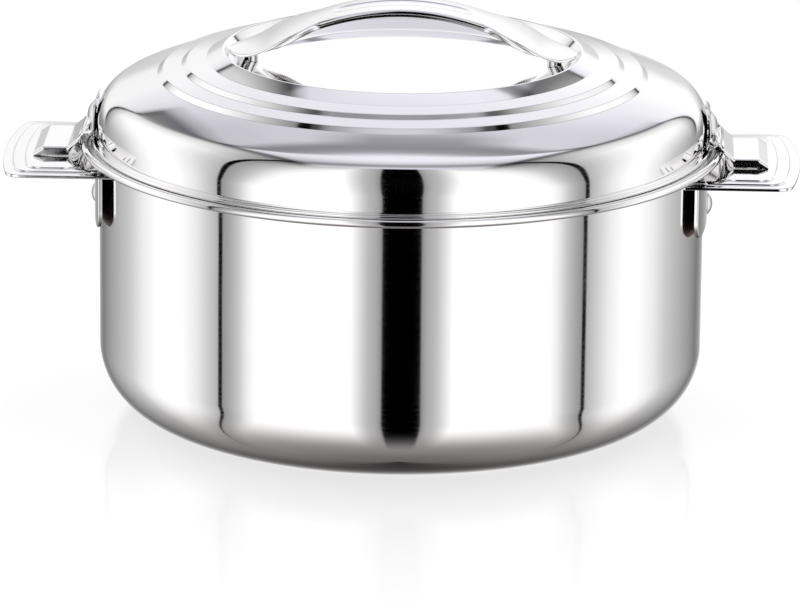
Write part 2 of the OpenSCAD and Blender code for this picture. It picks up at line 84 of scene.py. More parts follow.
class PotSizes(bpy.types.PropertyGroup):
    """Sizes of the pot and its lid, the same as in the CAD source."""

    segments: IntProperty(name="Segments", description="Steps round each turned shell",
                          default=288, min=48, max=512)
    body_r: length("Body radius", 120, "Outside radius of the body wall")
    body_corner_r: length("Bottom corner", 27, "Radius of the rounded bottom corner")
    body_sheet: length("Body sheet", 0.6, "Sheet thickness of the outer wall")
    recess_r: length("Base recess", 86, "Radius of the shallow recess under the base")
    recess_h: length("Recess depth", 1.2, "Depth of the recess under the base")
    bowl_r: length("Bowl radius", 108, "Inside radius of the food bowl")
    bowl_floor_z: length("Bowl floor", 11, "Height of the bowl floor above the table")
    bowl_corner_r: length("Bowl corner", 20, "Corner radius inside the bowl")
    bowl_sheet: length("Bowl sheet", 0.5, "Sheet thickness of the bowl")
    rim_z: length("Rim height", 109.3, "Height of the rim face the lid sits on")
    bead_out: length("Bead reach", 6.2, "How far the middle of the rim bead stands out")
    bead_r: length("Bead radius", 1.6, "Radius of the round section of the rim bead")
    bead_drop: length("Bead drop", 0.75, "How far the middle of the bead lies below the rim")
    skirt_out: length("Skirt reach", 1, "How far the lid skirt stands out from the wall")
    skirt_h: length("Skirt height", 6.95, "Height of the straight part of the skirt")
    shoulder_r: length("Lid shoulder", 13.5, "Radius of the lid shoulder")
    step1_r: length("Outer step", 97, "Radius of the outer step at its foot")
    step2_r: length("Inner step", 87.6, "Radius of the inner step at its foot")
    cone_r: length("Cone foot", 77.6, "Radius of the cone at its foot")
    step_h: length("Step height", 1.9, "Height of each step in the lid")
    step_lean: length("Step lean", 2.15, "How far each step leans in over its height")
    step_rise: length("Step rise", 1.35, "Rise of the flat between the steps")
    dish_rim_r: length("Dish rim", 71, "Radius of the raised rim of the centre dish")
    dish_rim_h: length("Dish rim height", 3.4, "Height of the dish rim above the cone foot")
    dish_depth: length("Dish depth", 6.1, "Depth of the dish below its rim")
    dish_floor_r: length("Dish floor", 57.5, "Radius of the flat floor of the dish")
    lid_sheet: length("Lid sheet", 0.5, "Sheet thickness of the lid")
    lid_edge_out: length("Rolled edge reach", 2.4, "How far the rolled edge stands out")
    lid_edge_h: length("Rolled edge", 1.5, "Thickness of the rolled edge of the lid")
    plug_r: length("Plug radius", 107, "Radius of the plug that reaches into the bowl")
    plug_depth: length("Plug depth", 10, "Depth of the plug below the rim face")
    plug_corner_r: length("Plug corner", 4, "Corner radius of the plug")
    plug_sheet: length("Plug sheet", 0.44, "Sheet thickness of the inner lid")


class FittingSizes(bpy.types.PropertyGroup):
    """Sizes of the handles and clips, the same as in the CAD source."""

    strap_rise: length("Strap rise", 19.1, "Height of the strap crown above the dish rim")
    strap_w: length("Strap width", 26, "Width of the lid handle strap")
    strap_reach: length("Strap reach", 69, "Half the length over the rounded ends")
    spoon_r: length("Spoon radius", 19.5, "Radius of the spoon-shaped ends")
    strap_t: length("Strap sheet", 1.1, "Thickness of the strap")
    strap_edge: length("Strap edge", 3, "Depth of the turned-down edges")
    groove_l: length("Groove length", 54, "Length of the pressed groove")
    groove_w: length("Groove width", 9, "Width of the pressed groove")
    groove_d: length("Groove depth", 0.5, "Depth of the pressed groove")
    plate_out: length("Plate reach", 37.9, "How far a side plate reaches out from the wall")
    plate_half_w: length("Plate half width", 42.4, "Half the width of a side plate")
    plate_bow_r: length("Plate bow", 200, "Radius of the slightly bowed outer end")
    plate_corner_r: length("Plate corner", 6, "Corner radius of the side plate")
    plate_drop: length("Plate drop", 6.6, "How far the lower step lies below the rim")
    plate_t: length("Plate sheet", 1.4, "Thickness of the plate sheet")
    step_in_a: length("Middle step inset", 4, "How far the middle step is set in")
    step_in_b: length("Top step inset", 5, "How far the top step is set in from the middle")
    plate_step: length("Plate step", 0.65, "Rise of each plate step")
    top_step_gap: length("Top step gap", 6, "Gap between the wall and the top step")
    leg_t: length("Leg sheet", 1.5, "Thickness of the leg on the wall")
    leg_bend_r: length("Leg bend", 200, "Radius to which the leg is bent")
    leg_half_w: length("Leg half width", 40, "Half the width of the leg")
    leg_l: length("Leg length", 23.3, "Length of the leg below the lower step")
    leg_corner_r: length("Leg corner", 8, "Corner radius at the foot of the leg")
    leg_rivet_up: length("Leg rivet height", 5.5, "Height of the rivet above the leg foot")
    leg_rivet_r: length("Leg rivet radius", 4.5, "Radius of the leg rivet head")
    leg_rivet_h: length("Leg rivet dome", 2, "Height of the leg rivet head")
    leaf_half_w: length("Leaf half width", 16.3, "Half the width of the leaf, also its top")
    leaf_t: length("Leaf sheet", 1, "Thickness of the leaf")
    leaf_bend_z: length("Leaf bend", 122.6, "Height at which the leaf leans in")
    leaf_rivet_z: length("Leaf rivet", 117, "Height of the leaf rivet")
    leaf_rivet_r: length("Leaf rivet radius", 5.7, "Radius of the leaf rivet head")
    leaf_rivet_h: length("Leaf rivet dome", 2.8, "Height of the leaf rivet head")
    pin_x: length("Pin place", 125.1, "Distance from the axis to the hinge pin")
    pin_z: length("Pin height", 111.95, "Height of the hinge pin")
    clip_half_w: length("Clip half width", 18, "Outside half width of a clip")
    clip_t: length("Clip sheet", 1, "Thickness of the clip sheet")
    clip_bend_x: length("Clip bend", 131.6, "Distance from the axis to the clip bend")
    clip_tab_x: length("Clip tab", 141.2, "Distance from the axis to the tab end")
    clip_lip_x: length("Clip lip", 145, "Distance from the axis to the lip end")
    clip_tab_z: length("Clip tab height", 107.8, "Height of the top of the tab")
    clip_low_z: length("Clip foot", 104.6, "Height of the lower edge of the clip sides")


class PotColours(bpy.types.PropertyGroup):
    """Colours of the finishes and of the stage."""

    polished: finish_colour("Polished steel", "F2F1F1", "Mirror-polished stainless steel")
    satin: finish_colour("Satin steel", "DAD9D7", "Spun stainless steel with a satin finish")
    rivet: finish_colour("Rivet steel", "E2E1E1", "Cold-headed rivets and pins")
    # the dark brown of the unpolished faces is painted shade under the strap and behind the legs
    unpolished_painted_shade: finish_colour("Unpolished faces", "8A7A73", "Colour of the unpolished sheet faces")
    foam: finish_colour("Foam", "EADFB4", "Rigid insulating foam")
    floor: finish_colour("Floor", "F2F2F2", "Plain pale floor")


def mm(name):
    """A size of the pot or its fittings, in millimetres."""
    scene = bpy.context.scene
    group = scene.pot_sizes if hasattr(scene.pot_sizes, name) else scene.pot_fittings
    return getattr(group, name) / MM


def colour(name):
    """A colour of the pot, linear."""
    return list(getattr(bpy.context.scene.pot_colours, name))


# ---- profiles, in millimetres ---------------------------------------------------------------

def arc(cx, cz, r, start, end, steps):
    """Points on an arc, angles in degrees."""
    turn = [math.radians(start + (end - start) * i / steps) for i in range(steps + 1)]
    return [(cx + r * math.cos(a), cz + r * math.sin(a)) for a in turn]


def soften(corners, step=6.0, hold=0.25, share=0.49):
    """A smooth path through (x, z, radius) corners. Each corner becomes an arc of its radius, with
    a point close to each end of it, so that the straight runs between keep flat shading. An arc
    takes no more than a share of the run on each side of it."""
    path = [corners[0][:2]]
    for before, here, after in zip(corners, corners[1:], corners[2:]):
        p = Vector(here[:2])
        into, out = Vector(before[:2]) - p, Vector(after[:2]) - p
        a, b = into.normalized(), out.normalized()
        between = a.angle(b)
        r = here[2]
        if r <= 0 or between > math.pi - 0.02:
            path.append(tuple(p))
            continue
        cut = min(r / math.tan(between / 2), into.length * share, out.length * share)
        r = cut * math.tan(between / 2)
        centre = p + (a + b).normalized() * (r / math.sin(between / 2))
        first, last = p + a * cut - centre, p + b * cut - centre
        turn = first.angle_signed(last)
        steps = max(3, math.ceil(abs(math.degrees(turn)) / step))
        path.append(tuple(p + a * (cut + min(hold, (into.length - cut) * 0.45))))
        for i in range(steps + 1):
            v = first.copy()
            v.rotate(Matrix.Rotation(-turn * i / steps, 2))
            path.append(tuple(centre + v))
        path.append(tuple(p + b * (cut + min(hold, (out.length - cut) * 0.45))))
    path.append(corners[-1][:2])
    return path


def beside(path, t):
    """The path moved sideways by t, to the left of its direction."""
    moved = []
    for i, p in enumerate(path):
        p = Vector(p)
        ways = []
        if i > 0:
            ways.append((p - Vector(path[i - 1])).normalized())
        if i < len(path) - 1:
            ways.append((Vector(path[i + 1]) - p).normalized())
        sides = [Vector((-w.y, w.x)) for w in ways if w.length > 0]
        middle = sum(sides, Vector((0, 0))).normalized()
        moved.append(tuple(p + middle * (t / max(0.35, middle.dot(sides[-1])))))
    return moved


def sheet(path, t):
    """The closed outline of a bent sheet of thickness t along the path."""
    return list(path) + beside(path, t)[::-1]


# ---- meshes ---------------------------------------------------------------------------------

def new_object(name, data):
    """An object of the data, put in the scene."""
    made = bpy.data.objects.new(name, data)
    bpy.context.scene.collection.objects.link(made)
    return made


def smoothed(name, mesh, crease):
    """An object of the mesh, smooth except at edges sharper than the crease, in degrees."""
    mesh.shade_smooth()
    mesh.set_sharp_from_angle(angle=math.radians(crease))
    return new_object(name, mesh)


def finish_mesh(name, bm, material, crease=40.0):
    """Turns a bmesh in millimetres into an object in metres, smooth except at sharp creases."""
    bmesh.ops.remove_doubles(bm, verts=bm.verts, dist=1e-4)
    bmesh.ops.recalc_face_normals(bm, faces=bm.faces)
    bmesh.ops.scale(bm, vec=(MM, MM, MM), verts=bm.verts)
    mesh = bpy.data.meshes.new(name)
    bm.to_mesh(mesh)
    bm.free()
    mesh.materials.append(material)
    return smoothed(name, mesh, crease)


def lathe(outline):
    """A bmesh turned round the axis from a closed (radius, height) outline."""
    segments = bpy.context.scene.pot_sizes.segments
    area = sum(a[0] * b[1] - b[0] * a[1] for a, b in zip(outline, outline[1:] + outline[:1]))
    if area < 0:
        outline = outline[::-1]
    bm = bmesh.new()
    rings = []
    for r, z in outline:
        if r < 1e-6:
            rings.append([bm.verts.new((0, 0, z))])
            continue
        turn = [2 * math.pi * j / segments for j in range(segments)]
        rings.append([bm.verts.new((r * math.cos(a), r * math.sin(a), z)) for a in turn])
    for low, high in zip(rings, rings[1:] + rings[:1]):
        for j in range(segments):
            k = (j + 1) % segments
            corners = [low[j % len(low)], low[k % len(low)], high[k % len(high)],
                       high[j % len(high)]]
            corners = list(dict.fromkeys(corners))
            if len(corners) > 2:
                bm.faces.new(corners)
    return bm


def skin(loops, closed=True, caps=True):
    """A bmesh through loops of the same number of points."""
    bm = bmesh.new()
    rows = [[bm.verts.new(p) for p in loop] for loop in loops]
    for low, high in zip(rows, rows[1:]):
        for j in range(len(low) if closed else len(low) - 1):
            k = (j + 1) % len(low)
            bm.faces.new((low[j], low[k], high[k], high[j]))
    if caps:
        bm.faces.new(rows[0][::-1])
        bm.faces.new(rows[-1])
    return bm


def mirrored(bm):
    """A copy of the bmesh on the other side, across X."""
    other = bm.copy()
    bmesh.ops.scale(other, vec=(-1, 1, 1), verts=other.verts)
    bmesh.ops.reverse_faces(other, faces=other.faces)
    return other


def second_finish(piece, name, chosen):
    """Gives the chosen faces of a piece a second finish."""
    piece.data.materials.append(finish(name))
    for face in piece.data.polygons:
        if chosen(face.center / MM, face.normal):
            face.material_index = 1


def joined(*parts):
    """One bmesh of several."""
    whole = bmesh.new()
    for part in parts:
        mesh = bpy.data.meshes.new("part")
        part.to_mesh(mesh)
        part.free()
        whole.from_mesh(mesh)
        bpy.data.meshes.remove(mesh)
    return whole


def carried(piece, body, slot, *nodes):
    """Puts a piece under the body that carries it and hides the CAD nodes it stands for. The finish
    slot it is given is not used.
    """
    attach(piece, body)
    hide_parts(*nodes)
    return piece


# ---- shells turned round the axis -----------------------------------------------------------

def rim_edge_z():
    """Lower and upper height of the rolled lid edge."""
    low = mm("rim_z") + TOUCH
    return low, low + mm("lid_edge_h")


def lid_heights():
    """Heights of the lid shell from its shoulder to its dish."""
    slope = math.radians(LID_SLOPE)
    edge = rim_edge_z()[1]
    skirt_r = mm("body_r") + mm("skirt_out")
    r = mm("shoulder_r")
    slope_r = skirt_r - r + r * math.sin(slope)
    slope_z = edge + mm("skirt_h") + r * math.cos(slope)
    z = {"skirt_r": skirt_r, "edge": edge}
    z["bend"] = edge + mm("skirt_h")
    z["s1"] = slope_z + (slope_r - mm("step1_r")) * math.tan(slope)
    z["s1_top"] = z["s1"] + mm("step_h")
    z["s2"] = z["s1_top"] + mm("step_rise")
    z["s2_top"] = z["s2"] + mm("step_h") * 0.9
    z["cone"] = z["s2_top"] + mm("step_rise")
    z["rim"] = z["cone"] + mm("dish_rim_h")
    z["dish"] = z["rim"] - mm("dish_depth")
    z["crown"] = z["rim"] + mm("strap_rise")
    z["spoon"] = z["rim"] - 0.4
    return z


def body_profile():
    """The outer wall from the recess under the base to the flange below the rim."""
    wall, foot, deep = mm("body_r"), mm("recess_r"), mm("recess_h")
    flange_z = mm("rim_z") - mm("bowl_sheet") - TOUCH - mm("body_sheet")
    path = soften([(0, deep), (foot, deep, 1.5), (foot + 2 * deep, 0, 1.5),
                   (wall, 0, mm("body_corner_r")), (wall, flange_z, 1.25),
                   (wall + mm("bead_out") - 0.25, flange_z)], step=3, share=0.93)
    return sheet(path, mm("body_sheet"))


def bowl_profile():
    """The food bowl with its flange and the round bead that closes the rim."""
    wall, floor, rim = mm("bowl_r"), mm("bowl_floor_z"), mm("rim_z")
    bead = arc(mm("body_r") + mm("bead_out"), rim - mm("bead_drop"), mm("bead_r"), 152, -108, 32)
    path = soften([(0, floor), (wall, floor, mm("bowl_corner_r")), (wall, rim, 1.3), bead[0]],
                  step=3)
    return sheet(path + bead[1:], -mm("bowl_sheet"))


def lid_slope(z):
    """The shoulder and, tangent to it, the slightly crowned slope up to the outer step."""
    r, turn = mm("shoulder_r"), SHOULDER_TURN
    shoulder = arc(z["skirt_r"] - r, z["bend"], r, 0, turn, 24)
    start, end = Vector(shoulder[-1]), Vector((mm("step1_r"), z["s1"]))
    chord = end - start
    half = 90 - turn - math.degrees(math.atan2(chord.y, -chord.x))
    big = chord.length / 2 / math.sin(math.radians(half))
    tilt = math.radians(turn)
    centre = start - Vector((math.cos(tilt), math.sin(tilt))) * big
    return shoulder + arc(centre.x, centre.y, big, turn, turn + 2 * half, 12)[1:-1]


def lid_profile():
    """The lid shell: rolled edge, skirt, shoulder, two steps, cone, dish rim and dish."""
    z = lid_heights()
    low, high = rim_edge_z()
    half = (high - low) / 2
    out = z["skirt_r"] + mm("lid_edge_out") - half
    lean, crest = mm("step_lean"), mm("dish_rim_r")
    roll = arc(out, low + half, half, -90, 90, 16)
    rise = soften([roll[-1], (z["skirt_r"], high, 0.45), (z["skirt_r"], z["bend"])], step=5)
    rise += lid_slope(z)
    rise += soften([rise[-2], (mm("step1_r"), z["s1"], 0.9),
                    (mm("step1_r") - lean, z["s1_top"], 0.9),
                    (mm("step2_r"), z["s2"], 0.9), (mm("step2_r") - lean, z["s2_top"], 0.9),
                    (mm("cone_r"), z["cone"], 1.0), (crest + 0.54, z["rim"] - 0.13)], step=4.5)[1:]
    crown = arc(crest, z["rim"] - 1.2, 1.2, 63, 129, 14)
    dish = soften([crown[-1], (crest - 4.4, z["rim"] - 3.7, 1.2),
                   (mm("dish_floor_r"), z["dish"], 12), (0, z["dish"])], step=2)
    path = [(z["skirt_r"] - 1.4, low)] + roll + rise[1:-1] + crown + dish[1:]
    return sheet(path, mm("lid_sheet"))


def plug_profile():
    """The inner lid: a shallow pan that reaches into the bowl, and its flange."""
    low = mm("rim_z") - mm("plug_depth")
    under = rim_edge_z()[0] + mm("lid_edge_h") / 2 - mm("plug_sheet") / 2
    out = lid_heights()["skirt_r"] + mm("lid_edge_out") - mm("lid_edge_h") / 2 - 0.35
    path = soften([(0, low), (mm("plug_r"), low, mm("plug_corner_r")), (mm("plug_r"), under, 1.2),
                   (out, under)], step=4)
    return sheet(path, mm("plug_sheet"))


# ---- lid handle -----------------------------------------------------------------------------

def strap_height(x, z):
    """Height of the strap's top face above the table at distance x from the middle."""
    reach = mm("strap_reach")
    foot = reach - 13
    crown, spoon = z["crown"], z["spoon"]
    drop = (crown - spoon - 3) / foot ** 2
    knots = [(foot - 4, crown - drop * (foot - 4) ** 2), (foot, spoon + 2.95),
             (foot + 4, spoon + 1.3), (foot + 8, spoon + 0.4), (foot + 11, spoon + 0.1),
             (reach + 1, spoon)]
    x = abs(x)
    if x <= knots[0][0]:
        return crown - drop * x * x
    for (x0, z0), (x1, z1) in zip(knots, knots[1:]):
        if x <= x1:
            return z0 + (z1 - z0) * (x - x0) / (x1 - x0)
    return spoon


def smooth_height(x, z, spread=2.0):
    """The strap height averaged over a short length, which rounds its knots."""
    offsets = [spread * (i / 4 - 1) for i in range(9)]
    return sum(strap_height(x + o, z) for o in offsets) / len(offsets)


def strap_half_width(x):
    """Half the width of the strap, which widens into round spoon ends."""
    half, r = mm("strap_w") / 2, mm("spoon_r")
    centre = mm("strap_reach") - r
    past = abs(x) - centre
    if past >= r:
        return 0.0
    round_end = math.sqrt(r * r - past * past) if abs(past) < r else 0.0
    if past > 0:
        return round_end
    blend = 3.0
    if round_end > half + blend:
        return round_end
    return half + max(0.0, round_end - half + blend) ** 2 / (4 * blend)


def ramp(value, low, high):
    """0 below low, 1 above high and a smooth rise between."""
    t = min(1.0, max(0.0, (value - low) / (high - low)))
    return t * t * (3 - 2 * t)


def groove_depth(x, y):
    """Depth of the pressed groove at a place on the strap."""
    half = mm("groove_w") / 2
    run = mm("groove_l") / 2 - half
    off = math.hypot(max(0.0, abs(x) - run), y)
    return mm("groove_d") * ramp(half - off, -0.2, 0.9)


def strap_stations():
    """Places along the strap, closer together towards its round tips."""
    reach = mm("strap_reach")
    inner = [-48 + i * 1.0 for i in range(97)]
    tip = [48 + (reach - 48.02) * math.sin(math.radians(90 * i / 30)) for i in range(1, 31)]
    return [-x for x in tip[::-1]] + inner + tip


def strap_loop(x, z, edge_r=1.3):
    """The section of the strap at x: top face, turned-down edges and underside."""
    half, t = max(strap_half_width(x), 0.35), mm("strap_t")
    hook = 1 - ramp(abs(x), 46, 57)
    r = min(edge_r, half * 0.8)
    flat = half - r
    upper = []
    for i in range(41):
        y = flat * (i / 20 - 1)
        upper.append((y, -groove_depth(x, y) - TOP_FALL * (y / max(half, 1)) ** 2))
    turn = [math.radians(90 * i / 7) for i in range(1, 8)]
    side = [(flat + r * math.sin(a), -TOP_FALL - r * 0.7 * (1 - math.cos(a))) for a in turn]
    low = -max(t + (mm("strap_edge") - t) * hook, TOP_FALL + 0.01 + 0.7 * r)
    tuck = min(max(0.1, half - 1.0), half - 0.25)
    side += [(half, low + 0.25), (half - 0.12, low + 0.07), (half - 0.3, low),
             (tuck - 0.08, low + 0.02), (tuck - 0.2, low + 0.2)]
    ceiling = -t - 0.12
    side.append((tuck - 0.25, min(ceiling, low + 0.25) if hook < 0.02 else ceiling - 0.35 * hook))
    inner = max(0.0, tuck - 0.9)
    side.append((inner, ceiling))
    for i in range(1, 12):
        y = inner * (1 - i / 12)
        side.append((y, ceiling - groove_depth(x, y) * 0.9))
    middle = (0.0, ceiling - groove_depth(x, 0) * 0.9)
    left = [(-y, h) for y, h in side[::-1]]
    top = smooth_height(x, z)
    return [(x, y, top + h) for y, h in upper + side + [middle] + left]


# ---- side handles ---------------------------------------------------------------------------

def plate_loop(inset, z, corner, inner=None):
    """A closed outline of the side plate, set in by inset, at height z. Its inner end follows the
    body wall, or is a straight end with round corners at x = inner."""
    wall = mm("body_r") + TOUCH
    tip = mm("body_r") + mm("plate_out") - inset
    half = mm("plate_half_w") - inset
    bow = mm("plate_bow_r") - inset
    bow_x = tip - bow
    mid = half - corner
    corner_x = bow_x + math.sqrt((bow - corner) ** 2 - mid * mid)
    corner_turn = math.degrees(math.asin(mid / (bow - corner)))
    start = inner + corner if inner else math.sqrt(wall * wall - half * half)
    side = [(start + (corner_x - start) * i / 12, half) for i in range(12)]
    side += arc(corner_x, mid, corner, 90, corner_turn, 8)
    upper = side + arc(bow_x, 0, bow, corner_turn, 0, 10)[1:]
    if inner:
        back = [(inner + corner - corner * math.sin(math.radians(a)),
                 mid + corner * math.cos(math.radians(a))) for a in (0, 22, 45, 68, 90)]
        back = back[1:] + [(inner, mid * (1 - i / 6)) for i in range(1, 7)]
    else:
        back = arc(0, 0, wall, math.degrees(math.asin(half / wall)), 0, 10)[1:]
    outline = back[::-1] + upper
    lower = [(x, -y) for x, y in outline[1:-1]][::-1]
    return [(x, y, z) for x, y in outline + lower]


def side_plate():
    """The stepped plate: a flat underside, a rounded edge and two pressed steps on top."""
    low = mm("rim_z") - mm("plate_drop") - mm("plate_t")
    top0 = low + mm("plate_t")
    rise, a, b = mm("plate_step"), mm("step_in_a"), mm("step_in_b")
    c = mm("plate_corner_r")
    loops = [(0.5, low, c - 0.5), (0.14, low + 0.12, c - 0.14), (0, low + 0.45, c),
             (0, top0 - 0.55, c), (0.08, top0 - 0.2, c - 0.08), (0.3, top0 - 0.04, c - 0.3),
             (0.6, top0, c - 0.6), (a - 0.7, top0, c), (a - 0.3, top0 + 0.03, c),
             (a - 0.05, top0 + 0.18, c), (a + 0.08, top0 + rise * 0.6, c),
             (a + 0.25, top0 + rise - 0.05, c), (a + 0.6, top0 + rise, c)]
    rings = [plate_loop(*loop) for loop in loops]
    inner = mm("body_r") + mm("top_step_gap")
    wide = a + b - 1.5
    top1 = top0 + rise
    pad = [(-0.6, top1), (-0.3, top1 + 0.03), (-0.08, top1 + 0.18), (0.05, top1 + rise * 0.6),
           (0.22, top1 + rise - 0.05), (0.55, top1 + rise)]
    for out, z in pad:
        rings.append(pad_loop(wide + out, a + b + out, z, c - max(0.0, out), inner + out))
    return skin(rings)


def pad_loop(side_inset, tip_inset, z, corner, inner):
    """The outline of the top step, which is a little wider than its end would give."""
    shape = plate_loop(tip_inset, z, corner, inner)
    half = mm("plate_half_w") - tip_inset
    grow = (mm("plate_half_w") - side_inset) - half
    moved = []
    for x, y, z in shape:
        share = min(1.0, abs(y) / half)
        moved.append((x, y + math.copysign(grow * share, y) if y else y, z))
    return moved


def curved_plate(ys, low, high, t, edge, place):
    """A plate of thickness t over the places ys, between the heights low(y) and high(y), with a
    rounded edge on its outer face. place(y, z, out) gives the point at a depth."""
    half = max(ys)
    rows = [0, 0.004, 0.012, 0.024, 0.045, 0.08, 0.14] + [0.14 + 0.04 * i for i in range(1, 19)]
    rows += [1 - s for s in (0.1, 0.06, 0.035, 0.018, 0.008, 0.003, 0)]

    def steep(line, y):
        slope = (line(min(y + 0.05, half)) - line(max(y - 0.05, -half))) / 0.1
        return math.sqrt(1 + slope * slope)

    def depth(y, z):
        d = min(half - abs(y), (z - low(y)) / steep(low, y), (high(y) - z) / steep(high, y))
        d = min(max(d, 0.0), edge)
        return t - edge + math.sqrt(max(0.0, edge * edge - (edge - d) ** 2))

    bm = bmesh.new()
    front, behind = [], []
    for y in ys:
        zs = [low(y) + (high(y) - low(y)) * s for s in rows]
        front.append([bm.verts.new(place(y, z, depth(y, z))) for z in zs])
        behind.append([bm.verts.new(place(y, z, 0.0)) for z in zs])
    n, m = len(ys), len(rows)
    for i in range(n - 1):
        for j in range(m - 1):
            bm.faces.new((front[i][j], front[i + 1][j], front[i + 1][j + 1], front[i][j + 1]))
            bm.faces.new((behind[i][j], behind[i][j + 1], behind[i + 1][j + 1], behind[i + 1][j]))
        bm.faces.new((front[i][0], behind[i][0], behind[i + 1][0], front[i + 1][0]))
        bm.faces.new((front[i][-1], front[i + 1][-1], behind[i + 1][-1], behind[i][-1]))
    for j in range(m - 1):
        bm.faces.new((front[0][j], front[0][j + 1], behind[0][j + 1], behind[0][j]))
        bm.faces.new((front[-1][j], behind[-1][j], behind[-1][j + 1], front[-1][j + 1]))
    return bm


def columns(half, corner, edge, spacing=2.0):
    """Places across a plate, closer together in its round corners and at its edges."""
    near = [half - edge * (1 - math.cos(math.radians(15 * i))) for i in range(7)]
    turn = [half - corner + corner * math.sin(math.radians(a)) for a in range(8, 84, 6)]
    flat = [i * spacing for i in range(1, int((half - corner) / spacing) + 1)]
    right = sorted(set(round(v, 4) for v in near + turn + flat))
    return [-v for v in right[::-1]] + [0.0] + right


def faces_wall(centre, normal):
    """Whether a face of a side handle looks at the pot's wall."""
    return normal.x * math.copysign(1, centre.x) < -0.6


def wall_leg():
    """The saddle below the plate. It touches the wall in its middle and is bent a little less than
    the wall, so that its two ends stand off."""
    top = mm("rim_z") - mm("plate_drop") - 0.3
    foot = mm("rim_z") - mm("plate_drop") - mm("leg_l")
    wall, t = mm("body_r") + TOUCH, mm("leg_t")
    half, c, edge, bend = mm("leg_half_w"), mm("leg_corner_r"), 0.5, mm("leg_bend_r")

    def low(y):
        past = abs(y) - (half - c)
        return foot + (c - math.sqrt(max(0.0, c * c - past * past)) if past > 0 else 0.0)

    def place(y, z, out):
        angle = math.asin(y / (bend + t))
        return wall - bend + (bend + out) * math.cos(angle), (bend + out) * math.sin(angle), z

    return curved_plate(columns(half, c, edge), low, lambda y: top, t, edge, place)


# ---- clips ----------------------------------------------------------------------------------

def leaf_plate():
    """The leaf on the lid skirt: a half disc whose top leans in against the shoulder."""
    face, t = lid_heights()["skirt_r"] + LEAF_OFF, mm("leaf_t")
    foot = rim_edge_z()[1] + LEAF_UP
    half, edge, lean = mm("leaf_half_w"), 0.3, math.tan(math.radians(24))

    def high(y):
        disc = foot - 1.2 + math.sqrt(max(0.0, half * half - y * y))
        return max(disc, foot + 3.0 - 1.2 * ramp(abs(y), half - 0.9, half))

    def place(y, z, out):
        past = z - mm("leaf_bend_z")
        back = 0.0 if past < -1 else (past + 1) ** 2 / 4 if past < 1 else past
        return face + out - lean * back, y, z

    return curved_plate(columns(half, 12.0, edge, 1.0), lambda y: foot, high, t, edge, place)


def prism(outline, y0, y1, edge):
    """An outline in the X-Z plane drawn out from y0 to y1, its long edges rounded."""
    bm = bmesh.new()
    near = [bm.verts.new((x, y0, z)) for x, z in outline]
    far = [bm.verts.new((x, y1, z)) for x, z in outline]
    for i in range(len(outline)):
        k = (i + 1) % len(outline)
        bm.faces.new((near[i], near[k], far[k], far[i]))
    caps = [bm.faces.new(near[::-1]), bm.faces.new(far)]
    bmesh.ops.recalc_face_normals(bm, faces=bm.faces)
    if edge:
        rim = [e for face in caps for e in face.edges]
        bmesh.ops.bevel(bm, geom=rim, offset=edge, segments=2, profile=0.5, affect="EDGES")
    return bm


def leaf_ears():
    """The two small ears of the leaf that hold the pin."""
    face = lid_heights()["skirt_r"] + LEAF_OFF
    foot = rim_edge_z()[1] + LEAF_UP
    x, z, r = mm("pin_x"), mm("pin_z"), 1.55
    outline = [(face + 0.2, foot), (x - 0.8, z - r * 0.86)] + arc(x, z, r, -110, 60, 12)
    outline += [(face + 0.8, foot + 3.2), (face + 0.3, foot + 3.6)]
    out = mm("leaf_half_w")
    return [prism(outline, s * out - (s > 0), s * out + (s < 0), 0.12) for s in (-1, 1)]


def clip_top_path():
    """The top of a clip from the pin outwards: web, crease, flat tab and turned-down lip."""
    x0 = mm("pin_x") + 2.05
    web_z = mm("pin_z") + 1.5
    drop = (web_z - mm("clip_tab_z")) / (mm("clip_bend_x") - mm("pin_x"))
    tab = mm("clip_tab_z")
    return soften([(x0, web_z - drop * 2.05), (mm("clip_bend_x"), tab, 1.1),
                   (mm("clip_tab_x"), tab, 1.3), (mm("clip_lip_x"), tab - 2.4)], step=7, hold=0.3)


def clip_cover():
    """The folded cover of a clip: its top with the two side walls turned down."""
    half, t, low = mm("clip_half_w"), mm("clip_t"), mm("clip_low_z")
    path = clip_top_path()
    under = beside(path, -t)
    start, end = path[0][0], path[-1][0]
    r = 1.2
    loops = []
    for (x, z), (ux, uz) in zip(path, under):
        foot = low + max(0.0, 110.3 - low) * (1 - ramp(x, start + 0.25, start + 1.0))
        foot = min(foot + max(0.0, x - (end - 0.4)) * 2, z - r - 0.2)
        outer = [(half - 0.25, foot), (half - 0.07, foot + 0.07), (half, foot + 0.25)]
        outer += arc(half - r, z - r, r, 0, 90, 6) + [(half * s, z) for s in (0.8, 0.5, 0.2)]
        outer += [(-y, h) for y, h in outer[::-1]]
        inner = [(t - 0.2 - half, foot), (t - half, foot + 0.2)]
        inner += [(-y, h) for y, h in arc(half - r, uz - r + t, r - t, 0, 90, 2)]
        inner += [(-y, h) for y, h in inner[::-1]]
        loops.append([(x, y, h) for y, h in outer] +
                     [(ux if h > foot + 0.3 else x, y, h) for y, h in inner])
    return skin(loops)


def clip_knuckle():
    """The end of the web rolled round the pin, and the two ears of the side walls."""
    x, z = mm("pin_x"), mm("pin_z")
    r = 1.5
    web_z = z + r
    drop = (web_z - mm("clip_tab_z")) / (mm("clip_bend_x") - x)
    out = x + 2.5
    roll = arc(x, z, r, 86, 372, 26) + arc(x, z, 0.86, 372, 70, 24)
    end_z = web_z - drop * (out - x)
    outline = [(out, end_z)] + roll + [(x + 1.4, z + 0.75), (out, end_z - 1)]
    half = mm("leaf_half_w") - 1.4
    parts = [prism(outline, -half, half, 0.1)]
    ear = arc(x, z, r, 62, 300, 22) + [(x + 2.6, z - 1.6), (x + 2.9, web_z - drop * 2.9 - 0.15)]
    wide = mm("clip_half_w")
    for s in (-1, 1):
        near, far = sorted((s * (wide - 0.02), s * (wide - mm("clip_t") + 0.02)))
        parts.append(prism(ear, near, far, 0.12))
    return parts


# ---- materials ------------------------------------------------------------------------------

